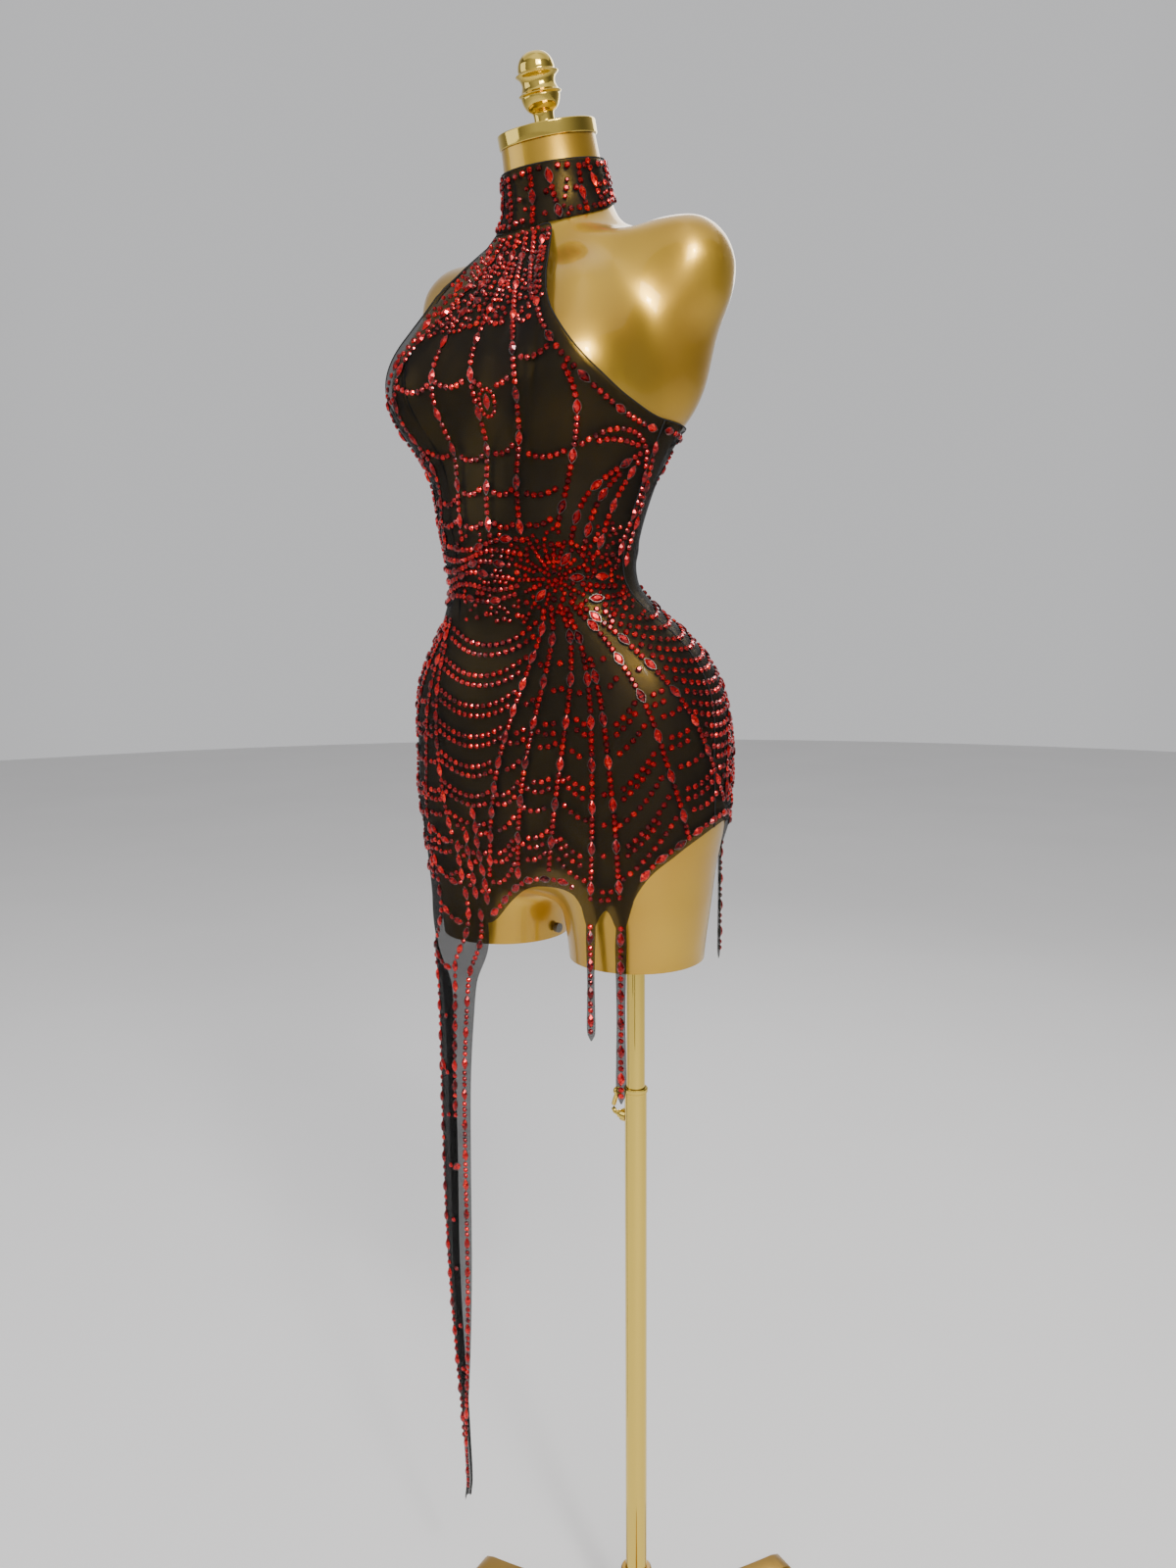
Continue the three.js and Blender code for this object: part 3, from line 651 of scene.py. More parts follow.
def sweep_tube(bm: bmesh.types.BMesh, route: Sequence[Vector], radius: float, sides: int) -> None:
    """A closed round bar along a route.

    Args:
        bm: where the bar is added.
        route: points of its middle line.
        radius: of the bar.
        sides: faces round it.
    """
    way = (route[1] - route[0]).normalized()
    turn = way.to_track_quat("Z", "Y").to_matrix().to_4x4()
    ring = bmesh.ops.create_circle(bm, segments=sides, radius=radius, cap_ends=True,
                                   matrix=Matrix.Translation(route[0]) @ turn)["verts"]
    first = ring[0].link_faces[0]
    bmesh.ops.reverse_faces(bm, faces=[first])
    section = list(first.verts)
    edges = list(first.edges)
    for k in range(1, len(route)):
        ahead = route[min(k + 1, len(route) - 1)] - route[k - 1]
        new_turn = ahead.normalized().to_track_quat("Z", "Y").to_matrix().to_4x4()
        made = bmesh.ops.extrude_edge_only(bm, edges=edges)["geom"]
        section = [g for g in made if isinstance(g, bmesh.types.BMVert)]
        edges = [g for g in made if isinstance(g, bmesh.types.BMEdge)
                 and all(v in section for v in g.verts)]
        change = Matrix.Translation(route[k]) @ new_turn @ turn.inverted() @ Matrix.Translation(-route[k - 1])
        bmesh.ops.transform(bm, matrix=change, verts=section)
        turn = new_turn
    bmesh.ops.edgeloop_fill(bm, edges=edges)


# ---- The dress form ---------------------------------------------------------------------------


@dataclass
class DressForm:
    """The moulded shell that wears the dress."""

    neck_top: Vector = field(default_factory=lambda: Vector((MEDIAN_X, -17 * MM, 1514 * MM)))
    neck_lean: float = 16.0  # degrees, forwards
    neck_reach: float = 100 * MM  # the neck's top edge lies within this of its highest point
    voxel: float = 3.6 * MM
    rounds: int = 40
    spare: float = 26 * MM  # drawn on past both ends, so that smoothing leaves their edges true

    def neck_place(self) -> Matrix:
        """The frame of the neck's slanted top, with Z along the neck."""
        return Matrix.Translation(self.neck_top) @ Matrix.Rotation(math.radians(self.neck_lean), 4, "X")

    def outer_skin(self) -> bmesh.types.BMesh:
        """The shell's outer surface alone, drawn on past the neck's top and the thighs' ends.

        Returns:
            A new bmesh.
        """
        bm = merged_node("dress_form")
        up = self.neck_place().inverted()
        level = 0.05 * MM
        ends = [f for f in bm.faces if all(abs((up @ v.co).z) < level for v in f.verts)
                or all(abs(v.co.z - STUMP_Z) < level for v in f.verts)]
        bmesh.ops.delete(bm, geom=ends, context="FACES")
        widest = max(bm.verts, key=lambda v: abs(v.co.x - MEDIAN_X))
        outer = connected([widest])
        inner = [v for v in bm.verts if v not in outer]
        bmesh.ops.delete(bm, geom=inner, context="VERTS")
        rims = [e for e in bm.edges if e.is_boundary]
        drawn = [g for g in bmesh.ops.extrude_edge_only(bm, edges=rims)["geom"]
                 if isinstance(g, bmesh.types.BMVert)]
        along = self.neck_place().to_3x3() @ Vector((0, 0, self.spare))
        for vert in drawn:
            at_neck = vert.co.z > self.neck_top.z - self.neck_reach
            vert.co += along if at_neck else Vector((0, 0, -self.spare))
        bmesh.ops.holes_fill(bm, edges=[e for e in bm.edges if e.is_boundary])
        bmesh.ops.recalc_face_normals(bm, faces=bm.faces)
        return bm

    def remeshed(self, bm: bmesh.types.BMesh) -> bmesh.types.BMesh:
        """The same skin as even, small quads.

        Args:
            bm: the skin, which is freed.

        Returns:
            A new bmesh.
        """
        draft = publish(bm, "form_draft", bpy.data.materials.new("draft"))
        remesh = draft.modifiers.new("even", "REMESH")
        remesh.mode = "VOXEL"
        remesh.voxel_size = self.voxel
        finished = draft.evaluated_get(bpy.context.evaluated_depsgraph_get()).to_mesh()
        even = bmesh.new()
        even.from_mesh(finished)
        bpy.data.objects.remove(draft, do_unlink=True)
        return even

    def trim(self, bm: bmesh.types.BMesh, at: Vector, way: Vector) -> None:
        """Cuts off what lies beyond a plane, and closes the cut flat.

        Args:
            bm: what is cut.
            at: a point of the plane.
            way: towards what is cut off.
        """
        bmesh.ops.bisect_plane(bm, geom=[*bm.verts, *bm.edges, *bm.faces], dist=0.001 * MM, plane_co=at,
                               plane_no=way, clear_outer=True)
        bmesh.ops.holes_fill(bm, edges=[e for e in bm.edges if e.is_boundary])

    def build(self) -> bpy.types.Object:
        """Makes the smooth shell and dresses it.

        Returns:
            The shell.
        """
        bm = self.remeshed(self.outer_skin())
        for _ in range(self.rounds):
            bmesh.ops.smooth_vert(bm, verts=bm.verts, factor=0.5, use_axis_x=True, use_axis_y=True,
                                  use_axis_z=True)
        self.trim(bm, self.neck_top, self.neck_place().to_3x3() @ Vector((0, 0, 1)))
        self.trim(bm, Vector((0, 0, STUMP_Z)), Vector((0, 0, -1)))
        form = publish(bm, "form_shell", SatinGoldPaint().material(), angle=60)
        return settle(form, "figure", ["dress_form"])


@dataclass
class NeckFittings:
    """The plated cap on the neck, the turned finial on it, and the screw head in the thigh."""

    place: Matrix
    cap_radius: float = 45.5
    cap_low: float = 0.3
    cap_high: float = 13.0
    edge: float = 1.4
    steps: int = 96
    finial: tuple[Point2, ...] = (
        (0, 13.3), (11.4, 13.3), (11.4, 14.8), (9.6, 17.3), (9.4, 23.3), (10.3, 25.8), (13.4, 27.9),
        (16.2, 32.3), (17.6, 37.3), (17.7, 38.9), (19.6, 40.6), (17.4, 42.5), (15.6, 46.3),
        (15.2, 49.8), (16.6, 53.3), (19.7, 56.5), (16.9, 58.3), (16.6, 61.3), (15.6, 65.7),
        (12.8, 70.3), (7.4, 73.9), (0, 75.0),
    )

    def cap(self) -> bpy.types.Object:
        """The shallow plated cap, with rounded edges and a shallow step on top.

        Returns:
            The cap.
        """
        r, low, high, edge = self.cap_radius, self.cap_low, self.cap_high, self.edge
        arc = [math.radians(a) for a in range(0, 91, 15)]
        foot = [(r - edge + edge * math.sin(a), low + edge - edge * math.cos(a)) for a in arc]
        head = [(r - edge + edge * math.cos(a), high - edge + edge * math.sin(a)) for a in arc]
        step = [(r - 5, high), (r - 5.6, high - 0.8), (0, high - 0.8)]
        profile = [(0.0, low), *foot, *head, *step]
        bm = bmesh.new()
        turned_shape(bm, [(x * MM, z * MM) for x, z in profile], self.steps, self.place)
        cap = publish(bm, "neck_cap_plate", PolishedGoldPlate("polished_gold_cap").material(), angle=40)
        return settle(cap, "figure", ["neck_cap"])

    def turned_finial(self) -> bpy.types.Object:
        """The finial, with crisp beads between its smooth swells.

        Returns:
            The finial.
        """
        crisp = 3
        bm = bmesh.new()
        profile = [(x * MM, z * MM) for x, z in self.finial[:crisp]]
        profile += rounded_profile(self.finial[crisp - 1:], 5)[1:]
        turned_shape(bm, profile, self.steps, self.place)
        finial = publish(bm, "turned_finial", PolishedGoldPlate("polished_gold_finial").material(), angle=50)
        return settle(finial, "figure", ["finial"])

    def screw_head(self) -> None:
        """Gives the CAD screw head its steel finish."""
        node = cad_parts["stump_bolt"]
        node.data.materials.clear()
        node.data.materials.append(PlainSteel().material())

    def build(self) -> None:
        """Makes the fittings in order."""
        self.cap()
        self.turned_finial()
        self.screw_head()


@dataclass
class Stand:
    """The telescopic pole, its clamp screw and the three-armed base."""

    post_radius: float = 11.0
    post_bore: float = 9.7
    post_low: float = 14.3
    post_top: float = 622.0
    ring_radius: float = 12.0
    ring_height: float = 4.0
    mast_radius: float = 9.2
    mast_bore: float = 7.9
    mast_low: float = 150.0
    mast_top: float = 892.0
    clamp_z: float = 589.0
    boss_x: float = -16.5
    boss_radius: float = 6.5
    lever_radius: float = 2.4
    ball_radius: float = 4.5
    hub_flat: float = 30.0
    hub_height: float = 34.0
    hub_neck: float = 16.0
    hub_top: float = 90.0
    arm_first: float = -52.0
    arm_reach: float = 203.0
    arm_width: float = 24.0
    steps: int = 64
    gold: bpy.types.Material = field(
        default_factory=lambda: PolishedGoldPlate("polished_gold_tube").material())
    lacquer: bpy.types.Material = field(
        default_factory=lambda: SatinGoldPaint("gold_lacquer", "#b98f35", "#94701f").material())

    def tube(self, bm: bmesh.types.BMesh, profile: Sequence[Point2]) -> None:
        """Adds a turned tube whose closed section is given in millimetres."""
        section = [(r * MM, z * MM) for r, z in profile]
        turned_shape(bm, [*section, section[0]], self.steps)

    def post(self) -> bpy.types.Object:
        """The lower tube with its rolled top ring and the clamp's boss.

        Returns:
            The tube.
        """
        low, top, r = self.post_low, self.post_top, self.post_radius
        ring, height = self.ring_radius, self.ring_height
        bm = bmesh.new()
        self.tube(bm, [(self.post_bore, low), (r, low), (r, top - height - 1), (ring, top - height),
                       (ring, top - 1), (ring - 1, top), (self.post_bore, top)])
        turn = Matrix.Rotation(math.radians(90), 4, "Y")
        length = abs(self.boss_x) - self.post_bore
        middle = Matrix.Translation(((self.boss_x + length / 2) * MM, 0, self.clamp_z * MM))
        boss = bmesh.ops.create_cone(bm, segments=self.steps // 2, radius1=self.boss_radius * MM,
                                     radius2=self.boss_radius * MM, depth=length * MM, cap_ends=True,
                                     matrix=middle @ turn)["verts"]
        rim = {e for v in boss for e in v.link_edges if all(p.co.x < (self.boss_x + 1) * MM for p in e.verts)}
        bmesh.ops.bevel(bm, geom=list(rim), offset=1 * MM, offset_type="OFFSET", segments=3, profile=0.5,
                        affect="EDGES", material=-1)
        return settle(publish(bm, "post_tube", self.gold, angle=40), "base", ["post"])

    def mast(self) -> bpy.types.Object:
        """The upper tube.

        Returns:
            The tube.
        """
        low, top, r = self.mast_low, self.mast_top, self.mast_radius
        bm = bmesh.new()
        self.tube(bm, [(self.mast_bore, low), (r, low), (r, top - 0.5), (r - 0.5, top),
                       (self.mast_bore, top)])
        return settle(publish(bm, "mast_tube", self.gold, angle=40), "mast", ["mast"])

    def lever(self) -> bpy.types.Object:
        """The clamp screw, bent up into a handle with a ball.

        Returns:
            The screw.
        """
        elbow, z = self.boss_x - 11, self.clamp_z
        bends = [(self.boss_x + 6, z), (elbow + 5, z), (elbow + 1.5, z + 0.8), (elbow, z + 3.5),
                 (elbow + 0.2, z + 8), (elbow + 2.4, z + 15), (elbow + 4.8, z + 21.5)]
        route = [Vector((x * MM, 0, height * MM)) for x, height in bends]
        bm = bmesh.new()
        sweep_tube(bm, route, self.lever_radius * MM, 20)
        ball = Matrix.Translation(((elbow + 5) * MM, 0, (z + 23) * MM))
        bmesh.ops.create_uvsphere(bm, u_segments=28, v_segments=16, radius=self.ball_radius * MM, matrix=ball)
        sideways = Matrix.Rotation(math.radians(90), 4, "Y")
        collar = Matrix.Translation(((self.boss_x - 2.2) * MM, 0, z * MM)) @ sideways
        bmesh.ops.create_cone(bm, segments=28, radius1=4.2 * MM, radius2=3.4 * MM, depth=3 * MM,
                              cap_ends=True, matrix=collar)
        piece = publish(bm, "clamp_screw", self.gold, angle=50)
        return settle(piece, "lever", ["clamp_lever"])

    def hub(self) -> bpy.types.Object:
        """The six-sided hub with its flared socket.

        Returns:
            The hub.
        """
        bm = bmesh.new()
        corner = self.hub_flat / math.cos(math.pi / 6) * MM
        turn = Matrix.Rotation(math.radians(self.arm_first), 4, "Z")
        middle = Matrix.Translation((0, 0, self.hub_height / 2 * MM))
        block = bmesh.ops.create_cone(bm, segments=6, radius1=corner, radius2=corner, cap_ends=True,
                                      depth=self.hub_height * MM, matrix=middle @ turn)["verts"]
        edges = {e for v in block for e in v.link_edges}
        bmesh.ops.bevel(bm, geom=list(edges), offset=1.2 * MM, offset_type="OFFSET", segments=3,
                        profile=0.5, affect="EDGES", material=-1)
        foot, r, top = self.hub_flat - 3, self.hub_neck, self.hub_top
        flare = [(foot - (foot - r) * eased(t), self.hub_height + 28 * t) for t in evenly(0, 1, 9)]
        profile = [(0.0, self.hub_height - 4), (foot, self.hub_height - 4), *flare, (r, top - 1.5),
                   (r - 1.5, top), (self.post_radius + 0.3, top), (self.post_radius + 0.3, top - 6),
                   (0.0, top - 6)]
        turned_shape(bm, [(x * MM, z * MM) for x, z in profile], self.steps)
        return settle(publish(bm, "base_hub", self.lacquer, angle=35), "base", ["hub"])

    def arm(self, index: int) -> bpy.types.Object:
        """One tapered arm with rounded edges and a shaped end.

        Args:
            index: its place among the arms, from 0.

        Returns:
            The arm.
        """
        low, reach, high = self.hub_flat + 0.3, self.arm_reach, self.hub_height - 2
        toe, toe_height = reach - 12, 11.0
        outline = [(low, 0.0), (reach - 2, 0.0), (reach, 2.0), (reach, 5.0), (reach - 3, 8.5),
                   (toe, toe_height)]
        slope = [(toe + (low - toe) * t, toe_height + (high - toe_height) * t ** 1.35)
                 for t in evenly(0, 1, 12)]
        bm = bmesh.new()
        verts = [bm.verts.new((x * MM, -self.arm_width / 2 * MM, z * MM)) for x, z in [*outline, *slope[1:]]]
        side = bm.faces.new(verts)
        made = bmesh.ops.extrude_face_region(bm, geom=[side])["geom"]
        moved = [g for g in made if isinstance(g, bmesh.types.BMVert)]
        bmesh.ops.translate(bm, verts=moved, vec=(0, self.arm_width * MM, 0))
        bmesh.ops.recalc_face_normals(bm, faces=bm.faces)
        flank = self.arm_width / 2 * MM * 0.99
        rim = [e for e in bm.edges if all(abs(v.co.y) > flank for v in e.verts)
               and abs(e.verts[0].co.y - e.verts[1].co.y) < MM]
        bmesh.ops.bevel(bm, geom=rim, offset=2 * MM, offset_type="OFFSET", segments=4, profile=0.5,
                        affect="EDGES", material=-1)
        turn = Matrix.Rotation(math.radians(self.arm_first + index * 120), 4, "Z")
        bmesh.ops.transform(bm, matrix=turn, verts=bm.verts)
        piece = publish(bm, f"base_arm_{index + 1}", self.lacquer, angle=35)
        return settle(piece, "base", [f"arm_{index + 1}"])

    def build(self) -> None:
        """Makes the stand from the top down."""
        self.mast()
        self.post()
        self.lever()
        self.hub()
        for index in range(3):
            self.arm(index)


# ---- The cloth --------------------------------------------------------------------------------


@dataclass(frozen=True)
class Crease:
    """A soft ridge or trough in the cloth between two places.

    The places are turns in degrees and heights in millimetres; rise and width are millimetres,
    and a negative rise is a trough.
    """

    start: Point2
    end: Point2
    rise: float
    width: float

    def at(self, turn: float, z: float, radius: float) -> float:
        """How far the crease moves the cloth at a turn and height in metres, in metres.

        Args:
            turn: in degrees.
            z: height in metres.
            radius: of the cloth there, in metres.

        Returns:
            The move outwards, in metres.
        """
        per_degree = math.radians(1) * radius / MM
        run = Vector(((self.end[0] - self.start[0]) * per_degree, self.end[1] - self.start[1]))
        here = Vector(((turn - self.start[0]) * per_degree, z / MM - self.start[1]))
        t = min(max(here.dot(run) / run.length_squared, 0.0), 1.0)
        away = (here - run * t).length / self.width
        if away > 3:
            return 0.0
        return self.rise * MM * math.exp(-away * away) * math.sin(math.pi * (0.04 + 0.92 * t)) ** 0.7


CREASES = (
    Crease((-7, 1410), (-4, 1290), 1.6, 5), Crease((4, 1415), (3, 1275), -1.4, 5),
    Crease((13, 1400), (9, 1300), 1.5, 5), Crease((-18, 1370), (-10, 1300), 1.0, 6),
    Crease((24, 1370), (16, 1310), -1.0, 6), Crease((-2, 1265), (-14, 1200), 1.0, 7),
    Crease((-62, 1188), (-20, 1160), 1.1, 5), Crease((-58, 1152), (-8, 1134), -1.2, 5),
    Crease((-50, 1100), (2, 1090), 1.4, 5), Crease((20, 1076), (64, 1092), -1.1, 6),
    Crease((-34, 1066), (14, 1058), -1.3, 6), Crease((-22, 1040), (26, 1048), 1.2, 7),
    Crease((60, 1148), (88, 1172), 1.0, 5), Crease((-76, 1120), (-42, 1136), 0.9, 5),
    Crease((-12, 900), (24, 872), 1.2, 8), Crease((-46, 872), (-4, 902), -1.2, 9),
    Crease((100, 1150), (150, 1128), 1.3, 6), Crease((104, 1112), (168, 1104), -1.2, 6),
    Crease((172, 1108), (236, 1116), 1.2, 6), Crease((196, 1146), (258, 1160), -1.1, 6),
    Crease((140, 1074), (198, 1082), 1.2, 7), Crease((176, 880), (184, 1010), -1.4, 8),
    Crease((112, 1236), (140, 1196), 1.0, 7), Crease((250, 1230), (214, 1190), 1.0, 7),
)


@dataclass
class ClothMap:
    """Where the dress's cloth stands, measured on the CAD cloth and smoothed over its facets."""

    columns: int = 240
    low: float = 784 * MM
    high: float = 1452 * MM
    step: float = 4 * MM
    reach_in: float = 320 * MM
    sink: float = 1.1 * MM  # the visible cloth lies inside the CAD wall's outer face
    blur: float = 11 * MM
    typical: float = 120 * MM  # distance of the cloth from the axis, for the blur's reach
    neck_low: float = 1384 * MM  # above this level the cloth is drawn in to the neck
    neck_ease: float = 34 * MM
    neck_gap: float = 4.2 * MM
    field_m: np.ndarray = field(init=False)

    def __post_init__(self) -> None:
        """Measures the cloth."""
        self.rows = round((self.high - self.low) / self.step) + 1
        self.turn_step = 360 / self.columns
        cloth, skin = node_tree(["front_panel", "back_panel"]), node_tree(["dress_form"])
        measured = np.full((self.rows, self.columns), np.nan)
        for i in range(self.rows):
            z = self.low + i * self.step
            for j in range(self.columns):
                turn = (j + 0.5) * self.turn_step
                if hem_z(turn) + 0.5 * MM < z < top_z(turn) - 0.5 * MM:
                    measured[i, j] = self.cast(cloth, turn, z)
        for j in range(self.columns):
            self.extend(measured[:, j])
            for i in range(math.ceil((self.neck_low - self.low) / self.step), self.rows):
                z, turn = self.low + i * self.step, (j + 0.5) * self.turn_step
                near = np.fmin(measured[i, j], self.cast(skin, turn, z) + self.neck_gap)
                measured[i, j] += (near - measured[i, j]) * eased((z - self.neck_low) / self.neck_ease)
        self.field_m = self.smoothed(measured)

    def cast(self, cloth: BVHTree, turn: float, z: float) -> float:
        """Distance from the axis to the cloth's outer face, or nan where it isn't met.

        Args:
            cloth: what is looked for.
            turn: in degrees.
            z: height in metres.

        Returns:
            Metres.
        """
        way, axis = bearing(turn), axis_point(z)
        hit = cloth.ray_cast(axis + way * self.reach_in, -way, self.reach_in * 0.9)
        return float("nan") if hit[0] is None else (hit[0] - axis).length

    def extend(self, column: np.ndarray) -> None:
        """Carries a column of distances on past the cloth's edges, in line with what is there.

        Args:
            column: distances from the lowest level up, with nan for no cloth; it is filled.
        """
        known = np.flatnonzero(~np.isnan(column))
        first, last, span, fade = known[0], known[-1], 6, 8.0
        low_slope = (column[first + span] - column[first + 1]) / (span - 1)
        high_slope = (column[last - 1] - column[last - span]) / (span - 1)
        steps_down = np.arange(first, 0, -1)
        column[:first] = column[first] - low_slope * fade * (1 - np.exp(-steps_down / fade))
        steps_up = np.arange(1, len(column) - last)
        column[last + 1:] = column[last] + high_slope * fade * (1 - np.exp(-steps_up / fade))
        gaps = np.isnan(column)
        column[gaps] = np.interp(np.flatnonzero(gaps), np.flatnonzero(~gaps), column[~gaps])

    def smoothed(self, measured: np.ndarray) -> np.ndarray:
        """The distances blurred up and down and round the figure.

        Args:
            measured: distances by level and turn.

        Returns:
            The blurred distances.
        """
        up = self.blur / self.step
        round_about = self.blur / (math.radians(self.turn_step) * self.typical)
        reach = 9
        steps = range(-reach, reach + 1)
        padded = np.pad(measured, ((reach, reach), (0, 0)), mode="reflect", reflect_type="odd")
        weights = [math.exp(-0.5 * (k / up) ** 2) for k in steps]
        level = sum(w * padded[reach + k:reach + k + self.rows] for w, k in zip(weights, steps))
        level /= sum(weights)
        weights = [math.exp(-0.5 * (k / round_about) ** 2) for k in steps]
        return sum(w * np.roll(level, k, axis=1) for w, k in zip(weights, steps)) / sum(weights)

    def radius(self, turn: float, z: float) -> float:
        """Distance from the axis to the visible cloth, creases included.

        Args:
            turn: in degrees.
            z: height in metres.

        Returns:
            Metres.
        """
        row = min(max((z - self.low) / self.step, 0.0), self.rows - 1.001)
        column = (turn / self.turn_step - 0.5) % self.columns
        i, j = int(row), int(column)
        s, t = row - i, column - j
        k = (j + 1) % self.columns
        f = self.field_m
        r = ((f[i, j] * (1 - t) + f[i, k] * t) * (1 - s) + (f[i + 1, j] * (1 - t) + f[i + 1, k] * t) * s)
        plain = float(r) - self.sink
        around = turn % 360
        bent = sum(crease.at(near, z, plain) for crease in CREASES for near in (around, around - 360)
                   if crease.start[0] - 40 < near < crease.end[0] + 40
                   or crease.end[0] - 40 < near < crease.start[0] + 40)
        return plain + bent

    def point(self, turn: float, z: float) -> Vector:
        """The visible cloth's outer face at a turn in degrees and a height in metres."""
        return axis_point(z) + bearing(turn) * self.radius(turn, z)

    def surface(self) -> "Surface":
        """The cloth in turns and millimetres of height."""
        return Surface(lambda turn, z: self.point(turn, z * MM), (1.5, 3.0), Vector((MEDIAN_X, 0, 0)))


@dataclass
class Surface:
    """A cloth surface in two measures, round an upright axis, for things to be laid on."""

    point: Callable[[float, float], Vector]
    steps: Point2  # small steps of both measures
    axis: Vector

    def place(self, a: float, b: float) -> tuple[Vector, Vector]:
        """A point of the surface and the way that it faces.

        Args:
            a: the first measure.
            b: the second measure.

        Returns:
            The point, and a unit vector away from the axis.
        """
        across = self.point(a + self.steps[0], b) - self.point(a - self.steps[0], b)
        up = self.point(a, b + self.steps[1]) - self.point(a, b - self.steps[1])
        here = self.point(a, b)
        out = across.cross(up).normalized()
        away = Vector((here.x - self.axis.x, here.y - self.axis.y, 0))
        return here, -out if out.dot(away) < 0 else out


def laid_grid(bm: bmesh.types.BMesh, points: Sequence[Sequence[Vector]]) -> list[bmesh.types.BMVert]:
    """Adds a grid of cloth through rows of points, lowest row first, with its flat lengths as UVs.

    Args:
        bm: where the cloth is added; it has a UV layer named flat.
        points: rows that run anticlockwise as seen from above.

    Returns:
        The new vertices.
    """
    rows, columns = len(points) - 1, len(points[0]) - 1
    made = bmesh.ops.create_grid(bm, x_segments=columns, y_segments=rows, size=1.0)["verts"]
    steps = np.array([[tuple(p) for p in row] for row in points])
    across = np.cumsum(np.linalg.norm(np.diff(steps, axis=1, prepend=steps[:, :1]), axis=2), axis=1)
    across -= across[:, columns // 2:columns // 2 + 1]
    layer = bm.loops.layers.uv["flat"]
    flat = {}
    for vert in made:
        j = round((vert.co.x + 1) / 2 * columns)
        i = round((vert.co.y + 1) / 2 * rows)
        vert.co = points[i][j]
        flat[vert] = (float(across[i, j]), float(vert.co.z))
    for face in {f for vert in made for f in vert.link_faces}:
        for loop in face.loops:
            loop[layer].uv = flat[loop.vert]
    return made


class PanelSide(Enum):
    """The two cut pieces of the dress's body, by the node that each replaces."""

    FRONT = "front_panel"
    BACK = "back_panel"


